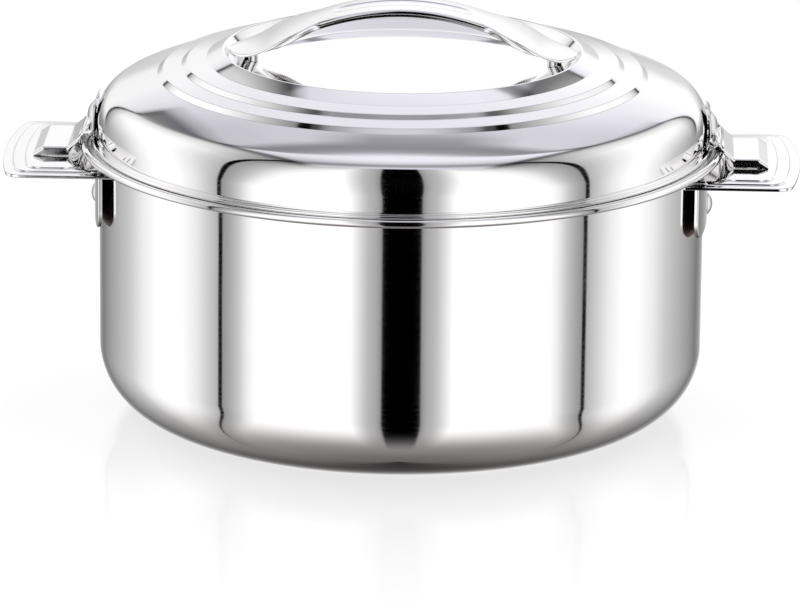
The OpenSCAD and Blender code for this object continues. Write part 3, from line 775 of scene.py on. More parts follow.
def node(tree, kind, links=(), stops=None, **settings):
    """Adds a node with its settings, its inputs and the grey stops of a ramp. The inputs are given
    in order or by name. Each takes a value, a socket, or a node, whose first output it gets.
    Underscores stand for spaces."""
    made = tree.nodes.new(kind)
    for key, value in settings.items():
        if hasattr(made, key):
            setattr(made, key, value)
        else:
            made.inputs[key.replace("_", " ")].default_value = value
    for key, source in links.items() if isinstance(links, dict) else enumerate(links):
        if isinstance(source, bpy.types.Node):
            source = source.outputs[0]
        if isinstance(source, bpy.types.NodeSocket):
            tree.links.new(source, made.inputs[key])
        else:
            made.inputs[key].default_value = source
    if stops:
        low, high = stops[0][0], stops[-1][0]
        marks = made.color_ramp.elements
        for place, level in stops:
            mark = marks[0] if place == low else marks[-1] if place == high else \
                marks.new((place - low) / (high - low))
            mark.color = (level, level, level, 1.0)
    return made


def levels(tree, value, stops):
    """The grey level at a value, from (value, level) stops."""
    share = node(tree, "ShaderNodeMapRange", (value,), From_Min=stops[0][0],
                 From_Max=stops[-1][0])
    return node(tree, "ShaderNodeValToRGB", (share,), stops)


def new_material(name):
    """An empty node material with its output, and the object coordinates in millimetres."""
    material = bpy.data.materials.new(name)
    material.use_nodes = True
    tree = material.node_tree
    tree.nodes.clear()
    output = node(tree, "ShaderNodeOutputMaterial")
    place = node(tree, "ShaderNodeTexCoord").outputs["Object"]
    to_mm = node(tree, "ShaderNodeVectorMath", (place,), operation="SCALE", Scale=1 / MM)
    return material, tree, output, to_mm.outputs[0]


def axis_distance(tree, place):
    """Distance from the upright axis and height, both in millimetres."""
    parts = node(tree, "ShaderNodeSeparateXYZ", (place,))
    flat = node(tree, "ShaderNodeCombineXYZ", {"X": parts, "Y": parts.outputs[1]})
    away = node(tree, "ShaderNodeVectorMath", (flat,), operation="LENGTH")
    return away.outputs["Value"], parts.outputs[2]


def steel_surface(tree, output, base, rough, height, strength, depth, **settings):
    """Bare steel of a base colour and roughness, with a bump that follows height. Depth is the
    height of the bump in millimetres."""
    bump = node(tree, "ShaderNodeBump", {"Height": height}, Strength=strength,
                Distance=depth * MM)
    steel = node(tree, "ShaderNodeBsdfPrincipled", {"Roughness": rough, "Normal": bump},
                 Base_Color=colour(base), Metallic=1.0, **settings)
    tree.links.new(steel.outputs[0], output.inputs[0])


def polished_stainless():
    """Mirror-polished deep-drawn stainless sheet. It gives a clear reflection, with faint turning
    lines left by the polishing wheel and a very slight waviness of the drawn wall."""
    material, tree, output, place = new_material("polished_stainless_sheet")
    away, height = axis_distance(tree, place)
    along = node(tree, "ShaderNodeMath", (away, height))
    # wheel lines are about 0.05 mm apart; drawn at 0.9 mm so that they show
    lines = node(tree, "ShaderNodeTexNoise", {"W": along}, noise_dimensions="1D", Scale=1.1,
                 Detail=2.0)
    haze = node(tree, "ShaderNodeTexNoise", {"Vector": place}, Scale=0.03, Detail=3.0)
    mixed = node(tree, "ShaderNodeMath", (lines, haze), operation="MULTIPLY")
    rough = node(tree, "ShaderNodeMapRange", {"Value": mixed}, From_Min=0.1, From_Max=0.5,
                 To_Min=0.035, To_Max=0.075)
    wave = node(tree, "ShaderNodeTexNoise", {"Vector": place}, Scale=0.022, Detail=1.0)
    steel_surface(tree, output, "polished", rough, wave, 0.25, 0.2)
    return material


def polished_fittings():
    """Pressed and barrel-polished stainless fittings: bright, a little softer than the shells,
    with a fine tumbled grain."""
    material, tree, output, place = new_material("barrel_polished_fitting_steel")
    grain = node(tree, "ShaderNodeTexNoise", {"Vector": place}, Scale=1.2, Detail=4.0)
    rough = node(tree, "ShaderNodeMapRange", {"Value": grain}, From_Min=0.3,
                 From_Max=0.7, To_Min=0.05, To_Max=0.1)
    wave = node(tree, "ShaderNodeTexNoise", {"Vector": place}, Scale=0.12, Detail=2.0)
    steel_surface(tree, output, "polished", rough, wave, 0.25, 0.1)
    return material


def satin_stainless():
    """Spun stainless with a satin finish inside the pot: soft reflections drawn out across the
    fine turning lines of the spinning tool."""
    material, tree, output, place = new_material("spun_satin_stainless")
    away, height = axis_distance(tree, place)
    along = node(tree, "ShaderNodeMath", (away, height))
    # tool lines 0.4 mm apart
    lines = node(tree, "ShaderNodeTexNoise", {"W": along}, noise_dimensions="1D", Scale=2.5,
                 Detail=3.0)
    rough = node(tree, "ShaderNodeMapRange", {"Value": lines}, To_Min=0.2, To_Max=0.34)
    steel_surface(tree, output, "satin", rough, lines, 0.35, 0.03, Anisotropic=0.4)
    return material


def rivet_steel():
    """Cold-headed stainless rivets and pins: smooth domes with small marks of the heading die."""
    material, tree, output, place = new_material("cold_headed_rivet_steel")
    marks = node(tree, "ShaderNodeTexVoronoi", {"Vector": place}, Scale=0.9)
    rough = node(tree, "ShaderNodeMapRange", {"Value": marks}, To_Min=0.08, To_Max=0.16)
    steel_surface(tree, output, "rivet", rough, marks, 0.15, 0.05)
    return material


def unpolished_painted_shade_steel():
    """Sheet faces that the polishing wheel never reached: the underside of the strap and the backs
    of the legs, rougher than the polished faces, with blotches a few millimetres wide, and painted
    a dark brown that stands for the shade under the strap and behind the legs."""
    material, tree, output, place = new_material("unpolished_pressed_sheet")
    blotch = node(tree, "ShaderNodeTexNoise", {"Vector": place}, Scale=0.3, Detail=4.0)
    rough = node(tree, "ShaderNodeMapRange", {"Value": blotch}, To_Min=0.25, To_Max=0.5)
    grain = node(tree, "ShaderNodeTexNoise", {"Vector": place}, Scale=3.0, Detail=2.0)
    steel_surface(tree, output, "unpolished_painted_shade", rough, grain, 0.3, 0.04)
    return material


def insulating_foam():
    """Rigid polyurethane foam poured between the sheets: matt, cream, with closed cells of about
    0.8 mm and slightly darker skins between them."""
    material, tree, output, place = new_material("rigid_polyurethane_foam")
    cells = node(tree, "ShaderNodeTexVoronoi", {"Vector": place}, Scale=1.2)
    patches = node(tree, "ShaderNodeTexNoise", {"Vector": place}, Scale=0.05, Detail=3.0)
    shade = node(tree, "ShaderNodeMath", (cells, patches), operation="MULTIPLY")
    base = colour("foam")
    dark = [c * 0.72 for c in base[:3]] + [1.0]
    tone = node(tree, "ShaderNodeMix", {"Factor": shade, 6: base, 7: dark}, data_type="RGBA")
    bump = node(tree, "ShaderNodeBump", {"Height": cells}, Strength=0.6, Distance=0.0004)
    foam = node(tree, "ShaderNodeBsdfPrincipled", {"Base Color": tone.outputs[2],
                                                   "Normal": bump}, Roughness=0.9)
    tree.links.new(foam.outputs[0], output.inputs[0])
    return material


FINISHES = {"shell": polished_stainless, "fitting": polished_fittings, "satin": satin_stainless,
            "rivet": rivet_steel, "unpolished_painted_shade": unpolished_painted_shade_steel, "foam": insulating_foam}


def finish(name):
    """The material of a finish, made once."""
    label = "finish_" + name
    scene = bpy.context.scene
    if label not in scene:
        scene[label] = FINISHES[name]().name
    return bpy.data.materials[scene[label]]


def dress(name, *nodes):
    """Gives carried-over CAD nodes the material of a finish."""
    for label in nodes:
        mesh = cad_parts[label].data
        mesh.materials.clear()
        mesh.materials.append(finish(name))


# ---- rivets by Geometry Nodes ---------------------------------------------------------------

def rivet_tree(material):
    """A Geometry Nodes tree that sets one domed rivet, with shank and tail, on each point it is
    given. A rivet points away from the axis along X."""
    tree = bpy.data.node_groups.new("domed_rivets", "GeometryNodeTree")
    tree.interface.new_socket("Points", in_out="INPUT", socket_type="NodeSocketGeometry")
    for label in ("Head radius", "Head height", "Shank radius", "Shank length", "Tail radius"):
        socket = tree.interface.new_socket(label, in_out="INPUT", socket_type="NodeSocketFloat")
        socket.subtype = "DISTANCE"
    tree.interface.new_socket("Rivets", in_out="OUTPUT", socket_type="NodeSocketGeometry")
    given = node(tree, "NodeGroupInput").outputs
    radius, rise = given["Head radius"], given["Head height"]
    # the dome is part of a ball, of radius (r*r + h*h) / 2h: a flat grid is rolled up on it
    squares = node(tree, "ShaderNodeMath", (rise, rise), operation="MULTIPLY")
    squares = node(tree, "ShaderNodeMath", (radius, radius, squares), operation="MULTIPLY_ADD")
    twice = node(tree, "ShaderNodeMath", (rise, rise))
    ball = node(tree, "ShaderNodeMath", (squares, twice), operation="DIVIDE")
    reach = node(tree, "ShaderNodeMath", (radius, ball), operation="DIVIDE")
    reach = node(tree, "ShaderNodeMath", (reach,), operation="ARCSINE")
    grid = node(tree, "GeometryNodeMeshGrid", Size_X=1.0, Size_Y=1.0, Vertices_X=49, Vertices_Y=13)
    here = node(tree, "GeometryNodeInputPosition")
    spot = node(tree, "ShaderNodeSeparateXYZ", (here,))
    turn = node(tree, "ShaderNodeMath", (spot, 2 * math.pi, math.pi), operation="MULTIPLY_ADD")
    lean = node(tree, "ShaderNodeMath", (0.5, spot.outputs[1]), operation="SUBTRACT")
    lean = node(tree, "ShaderNodeMath", (lean, reach), operation="MULTIPLY")
    ring = node(tree, "ShaderNodeMath", (lean,), operation="SINE")
    ring = node(tree, "ShaderNodeMath", (ring, ball), operation="MULTIPLY")
    sink = node(tree, "ShaderNodeMath", (rise, ball), operation="SUBTRACT")
    up = node(tree, "ShaderNodeMath", (lean,), operation="COSINE")
    up = node(tree, "ShaderNodeMath", (up, ball, sink), operation="MULTIPLY_ADD")
    across = node(tree, "ShaderNodeMath", (turn,), operation="COSINE")
    across = node(tree, "ShaderNodeMath", (across, ring), operation="MULTIPLY")
    beyond = node(tree, "ShaderNodeMath", (turn,), operation="SINE")
    beyond = node(tree, "ShaderNodeMath", (beyond, ring), operation="MULTIPLY")
    rolled = node(tree, "ShaderNodeCombineXYZ", {"X": across, "Y": beyond, "Z": up})
    dome = node(tree, "GeometryNodeSetPosition", {"Geometry": grid, "Position": rolled})
    base = node(tree, "GeometryNodeMeshCircle", {"Radius": radius}, fill_type="NGON", Vertices=48)
    turned = node(tree, "GeometryNodeFlipFaces", {"Mesh": base})
    head = node(tree, "GeometryNodeJoinGeometry")
    tree.links.new(dome.outputs[0], head.inputs[0])
    tree.links.new(turned.outputs[0], head.inputs[0])
    closed = node(tree, "GeometryNodeMergeByDistance", {"Geometry": head}, Distance=0.000005)
    parts = node(tree, "GeometryNodeJoinGeometry")
    tree.links.new(closed.outputs[0], parts.inputs[0])
    back = node(tree, "ShaderNodeMath", (given["Shank length"], -1.0), operation="MULTIPLY")
    middle = node(tree, "ShaderNodeMath", (back, 0.5), operation="MULTIPLY")
    end = node(tree, "ShaderNodeMath", (back, -0.0006))
    for wide, length, height in ((given["Shank radius"], given["Shank length"], middle),
                                 (given["Tail radius"], 0.0012, end)):
        post = node(tree, "GeometryNodeMeshCylinder", {"Radius": wide, "Depth": length},
                    Vertices=32)
        lift = node(tree, "ShaderNodeCombineXYZ", {"Z": height})
        moved = node(tree, "GeometryNodeTransform", {"Geometry": post, "Translation": lift})
        tree.links.new(moved.outputs[0], parts.inputs[0])
    side = node(tree, "ShaderNodeSeparateXYZ", (here,))
    outward = node(tree, "ShaderNodeCombineXYZ", {"X": side})
    aim = node(tree, "FunctionNodeAlignRotationToVector", {"Vector": outward}, axis="Z")
    placed = node(tree, "GeometryNodeInstanceOnPoints",
                  {"Points": given["Points"], "Instance": parts,
                   "Rotation": aim})
    real = node(tree, "GeometryNodeRealizeInstances", {"Geometry": placed})
    dressed = node(tree, "GeometryNodeSetMaterial", {"Geometry": real}, Material=material)
    out = node(tree, "NodeGroupOutput")
    tree.links.new(dressed.outputs[0], out.inputs[0])
    return tree


def set_rivets(name, x, z, sizes):
    """Rivets on both sides of the pot at height z, their faces x away from the axis."""
    mesh = bpy.data.meshes.new(name + "_places")
    mesh.from_pydata([(s * x * MM, 0, z * MM) for s in (-1, 1)], [], [])
    seed = new_object(name + "_places", mesh)
    tree = rivet_tree(finish("rivet"))
    modifier = seed.modifiers.new("rivets", "NODES")
    modifier.node_group = tree
    inputs = {item.name: item.identifier for item in tree.interface.items_tree
              if item.in_out == "INPUT"}
    for label, value in sizes.items():
        modifier[inputs[label]] = value * MM
    bpy.context.view_layer.update()
    evaluated = seed.evaluated_get(bpy.context.evaluated_depsgraph_get())
    made = bpy.data.meshes.new_from_object(evaluated)
    seed.modifiers.clear()
    bpy.data.objects.remove(seed)
    made.name = name
    return smoothed(name, made, 40.0)


# ---- stage ----------------------------------------------------------------------------------

def tent_map(tree):
    """The map that the tent is drawn on, as seen from above: u runs to the right and v to the
    front, both in degrees away from straight overhead. Also |u|, the degrees from overhead, and
    the degrees turned away from the front."""
    way = node(tree, "ShaderNodeTexCoord").outputs["Generated"]
    height = node(tree, "ShaderNodeSeparateXYZ", (way,)).outputs[2]
    tilt = node(tree, "ShaderNodeMath", (height,), operation="ARCCOSINE")
    away = node(tree, "ShaderNodeMapRange", (tilt,), From_Max=math.pi, To_Max=180)
    level = node(tree, "ShaderNodeVectorMath", (way, (1, -1, 0)), operation="MULTIPLY")
    unit = node(tree, "ShaderNodeVectorMath", (level,), operation="NORMALIZE")
    spot = node(tree, "ShaderNodeVectorMath", {0: unit, "Scale": away}, operation="SCALE")
    u, v, _ = node(tree, "ShaderNodeSeparateXYZ", (spot,)).outputs
    wide = node(tree, "ShaderNodeMath", (u,), operation="ABSOLUTE")
    spin = node(tree, "ShaderNodeMath", (wide, v), operation="ARCTAN2")
    spin = node(tree, "ShaderNodeMapRange", (spin,), From_Max=math.pi, To_Max=180)
    return u, v, wide, away, spin


def open_gap(tree, u, away):
    """The dark gap at the front between two bright panels, which fade towards it. Its two edges
    lean apart by a share of the angle from overhead."""
    left = node(tree, "ShaderNodeMath", (away, -0.055, -3.2), operation="MULTIPLY_ADD")
    left = node(tree, "ShaderNodeMath", (left, u), operation="SUBTRACT")
    right = node(tree, "ShaderNodeMath", (away, 0.15, 1.9), operation="MULTIPLY_ADD")
    right = node(tree, "ShaderNodeMath", (u, right), operation="SUBTRACT")
    beyond = node(tree, "ShaderNodeMath", (left, right), operation="MAXIMUM")
    # the fading gets narrower towards the roof
    narrower = node(tree, "ShaderNodeMath", (away, 44.0))
    narrower = node(tree, "ShaderNodeMath", (150.0, narrower), operation="DIVIDE")
    beyond = node(tree, "ShaderNodeMath", (beyond, narrower), operation="MULTIPLY")
    return levels(tree, beyond, [(-0.4, 0.0), (0.4, 0.55), (4, 0.64), (10, 0.71), (17, 0.88),
                                 (22, 1.0)])


def past_seam(tree, u, away, spin):
    """Degrees on the map from the black seam between a front and a side panel, more than 0 on the
    front panel. The seams stand upright and swing back below the tent's foot and near its roof."""
    right = node(tree, "ShaderNodeMath", (u, 0.0), operation="GREATER_THAN")
    turn = node(tree, "ShaderNodeMix", {"Factor": right, 2: 67.8, 3: 73.5})
    low = node(tree, "ShaderNodeMath", (away, 107.0), operation="SUBTRACT")
    low = node(tree, "ShaderNodeMath", (low, 0.0), operation="MAXIMUM")
    high = node(tree, "ShaderNodeMath", (away, 105.0), operation="MINIMUM")
    high = node(tree, "ShaderNodeMath", (high, 86.0), operation="SUBTRACT")
    for past, swing in ((low, 0.023), (high, 0.0062)):
        square = node(tree, "ShaderNodeMath", (past, past), operation="MULTIPLY")
        turn = node(tree, "ShaderNodeMath", (square, swing, turn), operation="MULTIPLY_ADD")
    off = node(tree, "ShaderNodeMath", (turn, spin), operation="SUBTRACT")
    size = node(tree, "ShaderNodeMapRange", (away,), From_Max=107, To_Max=math.radians(107))
    return node(tree, "ShaderNodeMath", (off, size), operation="MULTIPLY")


def side_panels(tree, u, away, spin):
    """Brightness of the upright panels of the tent."""
    by_gap = open_gap(tree, u, away)
    off = past_seam(tree, u, away, spin)
    front = node(tree, "ShaderNodeMath", (off, 0.0), operation="GREATER_THAN")
    by_seam = levels(tree, off, [
        (-44, 1.0), (-34, 0.97), (-22, 0.9), (-11, 0.78), (-1.9, 0.68), (-1.3, 0.0), (1.3, 0.0),
        (1.9, 0.57), (5, 0.6), (10, 0.67), (15, 0.75), (22, 0.9), (30, 1.0)])
    both = node(tree, "ShaderNodeMath", (by_seam, by_gap), operation="MINIMUM")
    panel = node(tree, "ShaderNodeMix", {"Factor": front, 2: by_seam, 3: both})
    # low down the side panels darken towards the back
    by_back = levels(tree, spin, [
        (97, 1.0), (104, 0.98), (114, 0.9), (123, 0.77), (136, 0.66), (147, 0.57), (157, 0.46),
        (167, 0.6), (180, 0.9)])
    low_down = node(tree, "ShaderNodeMapRange", (away,), From_Min=62, From_Max=98,
                    interpolation_type="SMOOTHSTEP")
    by_back = node(tree, "ShaderNodeMix", {"Factor": low_down, 2: 1.0, 3: by_back})
    return node(tree, "ShaderNodeMath", (panel, by_back), operation="MULTIPLY")


def roof_cloth(tree, u, v, wide):
    """Brightness of the soft roof overhead and behind, with the dark fold across it, which is
    short: beside it the cloth stays bright."""
    roof = levels(tree, v, [
        (-100, 0.56), (-92, 0.64), (-85, 0.8), (-79, 0.96), (-70, 0.98), (-62, 0.93), (-55, 0.9),
        (-50, 0.85), (-44, 0.8), (-40, 0.62), (-35, 0.54), (-33, 0.6), (-31, 0.93), (-23, 0.92),
        (-15, 0.86), (-8, 0.78), (-3, 0.62), (0, 0.57), (3, 0.62), (7, 0.8), (14, 0.86)])
    beside = node(tree, "ShaderNodeMapRange", (wide,), From_Min=4, From_Max=10)
    rear = node(tree, "ShaderNodeMapRange", (v,), From_Min=-36, From_Max=-38.5)
    beside = node(tree, "ShaderNodeMath", (beside, rear), operation="MULTIPLY")
    lighter = node(tree, "ShaderNodeMath", (roof, 0.82), operation="MAXIMUM")
    roof = node(tree, "ShaderNodeMix", {"Factor": beside, 2: roof, 3: lighter})
    to_left = node(tree, "ShaderNodeMapRange", (u,), From_Min=-3, From_Max=-15, To_Min=1.0,
                   To_Max=0.95)
    return node(tree, "ShaderNodeMath", (roof, to_left), operation="MULTIPLY")


def roof_seam(tree, v, over_edge, low_back):
    """The dark seam along the sides of the roof, black behind and gone at the front."""
    seam = levels(tree, over_edge, [
        (-9, 1.0), (-4, 0.97), (-2.2, 0.8), (-0.8, 0.5), (0.8, 0.48), (2.5, 0.62), (5, 0.8),
        (9, 0.88), (20, 1.0)])
    inner = node(tree, "ShaderNodeMapRange", (over_edge,), From_Min=-1.5, From_Max=-0.6)
    outer = node(tree, "ShaderNodeMapRange", (over_edge,), From_Min=1.5, From_Max=0.6)
    black = node(tree, "ShaderNodeMath", (inner, outer), operation="MINIMUM")
    behind = node(tree, "ShaderNodeMapRange", (v,), From_Min=-56, From_Max=-66)
    black = node(tree, "ShaderNodeMath", (black, behind), operation="MULTIPLY")
    seam = node(tree, "ShaderNodeMix", {"Factor": black, 2: seam, 3: 0.03})
    ends = node(tree, "ShaderNodeMapRange", (v,), From_Min=2, From_Max=14)
    ends = node(tree, "ShaderNodeMath", (ends, low_back), operation="MAXIMUM")
    return node(tree, "ShaderNodeMix", {"Factor": ends, 2: seam, 3: 1.0})


def table_top(tree, away, spin):
    """Brightness of the table, darker on the far side, where the foot of the pot shades it."""
    table = levels(tree, away, [(107, 0.56), (135, 0.53), (155, 0.5), (168, 0.42), (180, 0.38)])
    shaded = levels(tree, spin, [(90, 1.0), (130, 0.88), (150, 0.7), (165, 0.55), (180, 0.5)])
    foot = node(tree, "ShaderNodeMapRange", (away,), From_Min=118, From_Max=148, To_Min=0.2)
    foot = node(tree, "ShaderNodeMix", {"Factor": shaded, 2: foot, 3: 1.0})
    table = node(tree, "ShaderNodeMath", (table, shaded), operation="MULTIPLY")
    return node(tree, "ShaderNodeMath", (table, foot), operation="MULTIPLY")


def studio_world():
    """White to the camera, plain light on everything, and a photographer's tent to whatever
    mirrors it: upright panels all round, a roof overhead and behind, and the table below."""
    world = bpy.data.worlds.new("studio")
    bpy.context.scene.world = world
    world.use_nodes = True
    tree = world.node_tree
    tree.nodes.clear()
    output = node(tree, "ShaderNodeOutputWorld")
    u, v, wide, away, spin = tent_map(tree)
    panel = side_panels(tree, u, away, spin)
    roof = roof_cloth(tree, u, v, wide)
    # the roof gets wider towards the back
    flare = node(tree, "ShaderNodeMapRange", (v,), From_Min=-58, From_Max=-98, To_Min=22.3,
                 To_Max=91.5)
    over_edge = node(tree, "ShaderNodeMath", (wide, flare), operation="SUBTRACT")
    front_edge = node(tree, "ShaderNodeMath", (v, 12.0), operation="SUBTRACT")
    edge = node(tree, "ShaderNodeMath", (over_edge, front_edge), operation="MAXIMUM")
    outside = node(tree, "ShaderNodeMapRange", (edge,), From_Min=-1.0, From_Max=1.0)
    low_back = node(tree, "ShaderNodeMapRange", (away,), From_Min=86, From_Max=99,
                    interpolation_type="SMOOTHSTEP")
    outside = node(tree, "ShaderNodeMath", (outside, low_back), operation="MAXIMUM")
    tent = node(tree, "ShaderNodeMix", {"Factor": outside, 2: roof, 3: panel})
    seam = roof_seam(tree, v, over_edge, low_back)
    tent = node(tree, "ShaderNodeMath", (tent, seam), operation="MULTIPLY")
    below = node(tree, "ShaderNodeMapRange", (away,), From_Min=112, From_Max=156,
                 interpolation_type="SMOOTHSTEP")
    bright = node(tree, "ShaderNodeMix",
                  {"Factor": below, 2: tent, 3: table_top(tree, away, spin)})
    # the levels are drawn as the eye sees them
    bright = node(tree, "ShaderNodeMath", (bright, EYE_GAMMA), operation="POWER")
    light = node(tree, "ShaderNodeMath", (bright, TENT_LIGHT), operation="MULTIPLY")
    # the roof cloth is a little cool and the table a little warm
    cool = node(tree, "ShaderNodeMapRange", (v,), From_Min=-72, From_Max=-56)
    cool = node(tree, "ShaderNodeMix", {"Factor": outside, 2: cool, 3: 0.0})
    tint = node(tree, "ShaderNodeMix", {"Factor": cool, 6: (1, 1, 1, 1), 7: (0.95, 0.95, 1.04, 1)},
                data_type="RGBA").outputs[2]
    tint = node(tree, "ShaderNodeMix", {"Factor": below, 6: tint, 7: (1.04, 0.98, 0.97, 1)},
                data_type="RGBA").outputs[2]
    ray = node(tree, "ShaderNodeLightPath").outputs
    seen = node(tree, "ShaderNodeBackground", Color=(1, 1, 1, 1), Strength=1.0)
    plain = node(tree, "ShaderNodeBackground", Color=(1, 1, 1, 1), Strength=0.85)
    mirror = node(tree, "ShaderNodeBackground", (tint, light))
    lit = node(tree, "ShaderNodeMixShader", (ray["Is Glossy Ray"], plain, mirror))
    whole = node(tree, "ShaderNodeMixShader", (ray["Is Camera Ray"], lit, seen))
    tree.links.new(whole.outputs[0], output.inputs[0])


def pale_floor():
    """A plain pale floor with a weak polish that shows the pot close to its foot. Most of its
    white comes from what the camera sees, so that the shadow under the pot stays."""
    material, tree, output, place = new_material("pale_matt_floor")
    away, _ = axis_distance(tree, place)
    matt = node(tree, "ShaderNodeBsdfDiffuse", Color=colour("floor"))
    glow = node(tree, "ShaderNodeEmission", Color=(1, 1, 1, 1), Strength=1.12)
    ray = node(tree, "ShaderNodeLightPath").outputs
    lift = node(tree, "ShaderNodeMath", (ray["Is Camera Ray"], 0.7), operation="MULTIPLY")
    base = node(tree, "ShaderNodeMixShader", (lift, matt, glow))
    polish = node(tree, "ShaderNodeBsdfGlossy", Color=(1, 1, 1, 1), Roughness=0.08)
    fade = node(tree, "ShaderNodeMapRange", {"Value": away}, From_Min=120, From_Max=330,
                To_Min=0.14, To_Max=0.0)
    floor = node(tree, "ShaderNodeMixShader", (fade, base, polish))
    tree.links.new(floor.outputs[0], output.inputs[0])
    return material


def photo_camera():
    """The camera at the photograph's angle: 2.5 m away, a little to the right and 16 degrees up."""
    data = bpy.data.cameras.new("photo_camera")
    data.sensor_width, data.lens = 36.0, 281.26
    data.clip_start, data.clip_end = 0.1, 20.0
    camera = new_object("photo_camera", data)
    side, up, roll = (math.radians(angle) for angle in (2.0, 16.19, 0.55))
    away, aim = 2.5, Vector((-0.00016, 0.0, 0.0393))
    back = Vector((math.sin(side) * math.cos(up), -math.cos(side) * math.cos(up), math.sin(up)))
    turned = (-back).to_track_quat("-Z", "Y").to_matrix().to_4x4()
    camera.matrix_world = (Matrix.Translation(aim + back * away) @ turned
                           @ Matrix.Rotation(roll, 4, "Z"))
    bpy.context.scene.camera = camera


def soft_lamp(name, place, size, power):
    """A wide soft lamp that looks at the pot and isn't seen in its mirror finish."""
    data = bpy.data.lights.new(name, "AREA")
    data.shape, data.size, data.energy = "DISK", size, power
    lamp = new_object(name, data)
    lamp.location = place
    lamp.rotation_mode = "QUATERNION"
    lamp.rotation_quaternion = (-Vector(place)).to_track_quat("-Z", "Y")
    lamp.visible_glossy = False


# ---- operators, one for each piece or group of like pieces ---------------------------------

class PieceOperator:
    """What the piece operators share."""

    bl_options = {"REGISTER", "UNDO"}


class POT_OT_stage(PieceOperator, bpy.types.Operator):
    """Sets the floor, the studio light and the camera"""

    bl_idname = "pot.stage"
    bl_label = "Stage"

    def execute(self, context):
        bm = bmesh.new()
        bmesh.ops.create_circle(bm, cap_ends=True, radius=6000, segments=96)
        floor = finish_mesh("floor", bm, pale_floor())
        floor.visible_glossy = False
        studio_world()
        soft_lamp("top_lamp", (0.2, 0.3, 1.6), 1.2, 6.0)
        photo_camera()
        scene = context.scene
        scene.view_settings.view_transform = "Standard"
        return {"FINISHED"}


class POT_OT_outer_shell(PieceOperator, bpy.types.Operator):
    """Turns the mirror-polished outer wall of the pot"""

    bl_idname = "pot.outer_shell"
    bl_label = "Outer shell"

    def execute(self, context):
        shell = finish_mesh("pot_outer_shell", lathe(body_profile()), finish("shell"))
        carried(shell, "body", "polished_steel", "body_outer_shell")
        return {"FINISHED"}


class POT_OT_bowl(PieceOperator, bpy.types.Operator):
    """Turns the satin food bowl with the round bead of its rim"""

    bl_idname = "pot.bowl"
    bl_label = "Food bowl"

    def execute(self, context):
        bowl = finish_mesh("pot_food_bowl", lathe(bowl_profile()), finish("satin"))
        # the rim bead is polished like the outside
        edge = mm("body_r") + 2
        second_finish(bowl, "shell", lambda centre, normal: centre.xy.length > edge)
        carried(bowl, "body", "satin_steel", "body_inner_bowl")
        return {"FINISHED"}


class POT_OT_lid_shell(PieceOperator, bpy.types.Operator):
    """Turns the mirror-polished lid with its steps and dish"""

    bl_idname = "pot.lid_shell"
    bl_label = "Lid shell"

    def execute(self, context):
        lid = finish_mesh("pot_lid_shell", lathe(lid_profile()), finish("shell"))
        carried(lid, "lid", "polished_steel", "lid_outer_shell")
        return {"FINISHED"}


class POT_OT_inner_lid(PieceOperator, bpy.types.Operator):
    """Turns the satin inner lid that reaches into the bowl"""

    bl_idname = "pot.inner_lid"
    bl_label = "Inner lid"

    def execute(self, context):
        pan = finish_mesh("pot_inner_lid", lathe(plug_profile()), finish("satin"))
        carried(pan, "lid", "satin_steel", "lid_inner_shell")
        return {"FINISHED"}


class POT_OT_lid_handle(PieceOperator, bpy.types.Operator):
    """Forms the strap handle of the lid with its groove and spoon-shaped ends"""

    bl_idname = "pot.lid_handle"
    bl_label = "Lid handle"

    def execute(self, context):
        z = lid_heights()
        loops = [strap_loop(x, z) for x in strap_stations()]
        strap = finish_mesh("pot_lid_handle", skin(loops), finish("fitting"), crease=50)
        # no polishing wheel reaches under the arch; its underside is also painted dark brown as
        # shade
        arch = mm("strap_reach") - 23
        second_finish(strap, "unpolished_painted_shade",
                      lambda centre, normal: normal.z < -0.25 and abs(centre.x) < arch)
        carried(strap, "lid", "polished_steel", "lid_handle")
        dress("rivet", "lid_handle_studs")
        return {"FINISHED"}


class POT_OT_side_handles(PieceOperator, bpy.types.Operator):
    """Forms the two stepped side handles with their saddles on the wall"""

    bl_idname = "pot.side_handles"
    bl_label = "Side handles"

    def execute(self, context):
        right = joined(side_plate(), wall_leg())
        left = mirrored(right)
        for label, bm in (("right", right), ("left", left)):
            piece = finish_mesh("pot_handle_" + label, bm, finish("fitting"))
            # the faces towards the wall are painted dark brown as shade
            second_finish(piece, "unpolished_painted_shade", faces_wall)
            carried(piece, "body", "polished_steel", "handle_" + label)
        return {"FINISHED"}


class POT_OT_clips(PieceOperator, bpy.types.Operator):
    """Forms the leaf and the folded clip on each side of the lid"""

    bl_idname = "pot.clips"
    bl_label = "Clips"

    def execute(self, context):
        leaf = joined(leaf_plate(), *leaf_ears())
        cover = joined(clip_cover(), *clip_knuckle())
        for label, bracket, clip in (("left", mirrored(leaf), mirrored(cover)),
                                     ("right", leaf, cover)):
            piece = finish_mesh("pot_clip_leaf_" + label, bracket, finish("fitting"))
            carried(piece, "lid", "polished_steel", "latch_bracket_" + label)
            piece = finish_mesh("pot_clip_" + label, clip, finish("fitting"))
            carried(piece, "clip_" + label, "polished_steel", "latch_lever_" + label)
        dress("rivet", "latch_pin_left", "latch_pin_right")
        return {"FINISHED"}


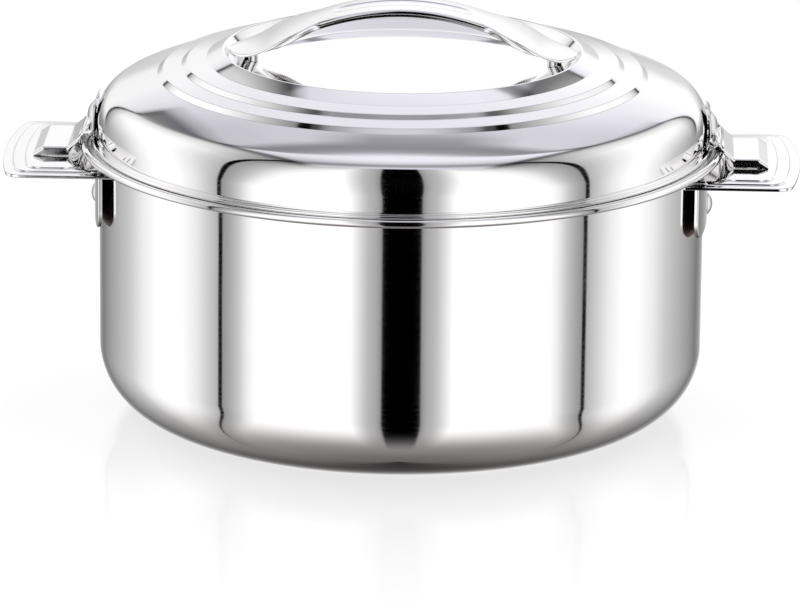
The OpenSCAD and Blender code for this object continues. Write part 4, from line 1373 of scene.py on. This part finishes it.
class POT_OT_rivets(PieceOperator, bpy.types.Operator):
    """Sets the domed rivets of the side handles and of the clips"""

    bl_idname = "pot.rivets"
    bl_label = "Rivets"

    def execute(self, context):
        wall, foot = mm("body_r"), mm("rim_z") - mm("plate_drop") - mm("leg_l")
        face = wall + mm("leg_t") + 2 * TOUCH
        tail = wall - mm("body_sheet") - 3 * TOUCH
        legs = set_rivets("pot_handle_rivets", face, foot + mm("leg_rivet_up"), {
            "Head radius": mm("leg_rivet_r"), "Head height": mm("leg_rivet_h"),
            "Shank radius": 2.2, "Shank length": face - tail, "Tail radius": 3.4})
        carried(legs, "body", "polished_steel", "handle_rivets")
        skirt = lid_heights()["skirt_r"]
        face = skirt + LEAF_OFF + mm("leaf_t") + 0.03
        tail = skirt - mm("lid_sheet") - 1.6
        leaves = set_rivets("pot_clip_rivets", face, mm("leaf_rivet_z"), {
            "Head radius": mm("leaf_rivet_r"), "Head height": mm("leaf_rivet_h"),
            "Shank radius": 2.0, "Shank length": face - tail, "Tail radius": 3.0})
        carried(leaves, "lid", "polished_steel", "latch_rivets")
        dress("satin", "handle_rivet_washers", "latch_rivet_washers")
        return {"FINISHED"}


class POT_OT_insulation(PieceOperator, bpy.types.Operator):
    """Gives the foam in the body and in the lid its material"""

    bl_idname = "pot.insulation"
    bl_label = "Insulation"

    def execute(self, context):
        dress("foam", "body_foam", "lid_foam")
        return {"FINISHED"}


OPERATORS = (POT_OT_stage, POT_OT_outer_shell, POT_OT_bowl, POT_OT_lid_shell, POT_OT_inner_lid,
             POT_OT_lid_handle, POT_OT_side_handles, POT_OT_clips, POT_OT_rivets,
             POT_OT_insulation)


class POT_PT_pieces(bpy.types.Panel):
    """Lists the pieces of the pot, its sizes and its colours"""

    bl_label = "Serving pot"
    bl_idname = "POT_PT_pieces"
    bl_space_type = "VIEW_3D"
    bl_region_type = "UI"
    bl_category = "Serving pot"

    def draw(self, context):
        column = self.layout.column(align=True)
        for operator in OPERATORS:
            column.operator(operator.bl_idname)
        for group in (context.scene.pot_sizes, context.scene.pot_fittings,
                      context.scene.pot_colours):
            box = self.layout.box()
            for name in group.__annotations__:
                box.prop(group, name)


CLASSES = (PotSizes, FittingSizes, PotColours) + OPERATORS + (POT_PT_pieces,)


def register():
    for made in CLASSES:
        bpy.utils.register_class(made)
    bpy.types.Scene.pot_sizes = PointerProperty(type=PotSizes)
    bpy.types.Scene.pot_fittings = PointerProperty(type=FittingSizes)
    bpy.types.Scene.pot_colours = PointerProperty(type=PotColours)


def unregister():
    for name in ("pot_sizes", "pot_fittings", "pot_colours"):
        delattr(bpy.types.Scene, name)
    for made in reversed(CLASSES):
        bpy.utils.unregister_class(made)


def main():
    register()
    for operator in OPERATORS:
        family, name = operator.bl_idname.split(".")
        getattr(getattr(bpy.ops, family), name)()


if __name__ == "__main__":
    main()
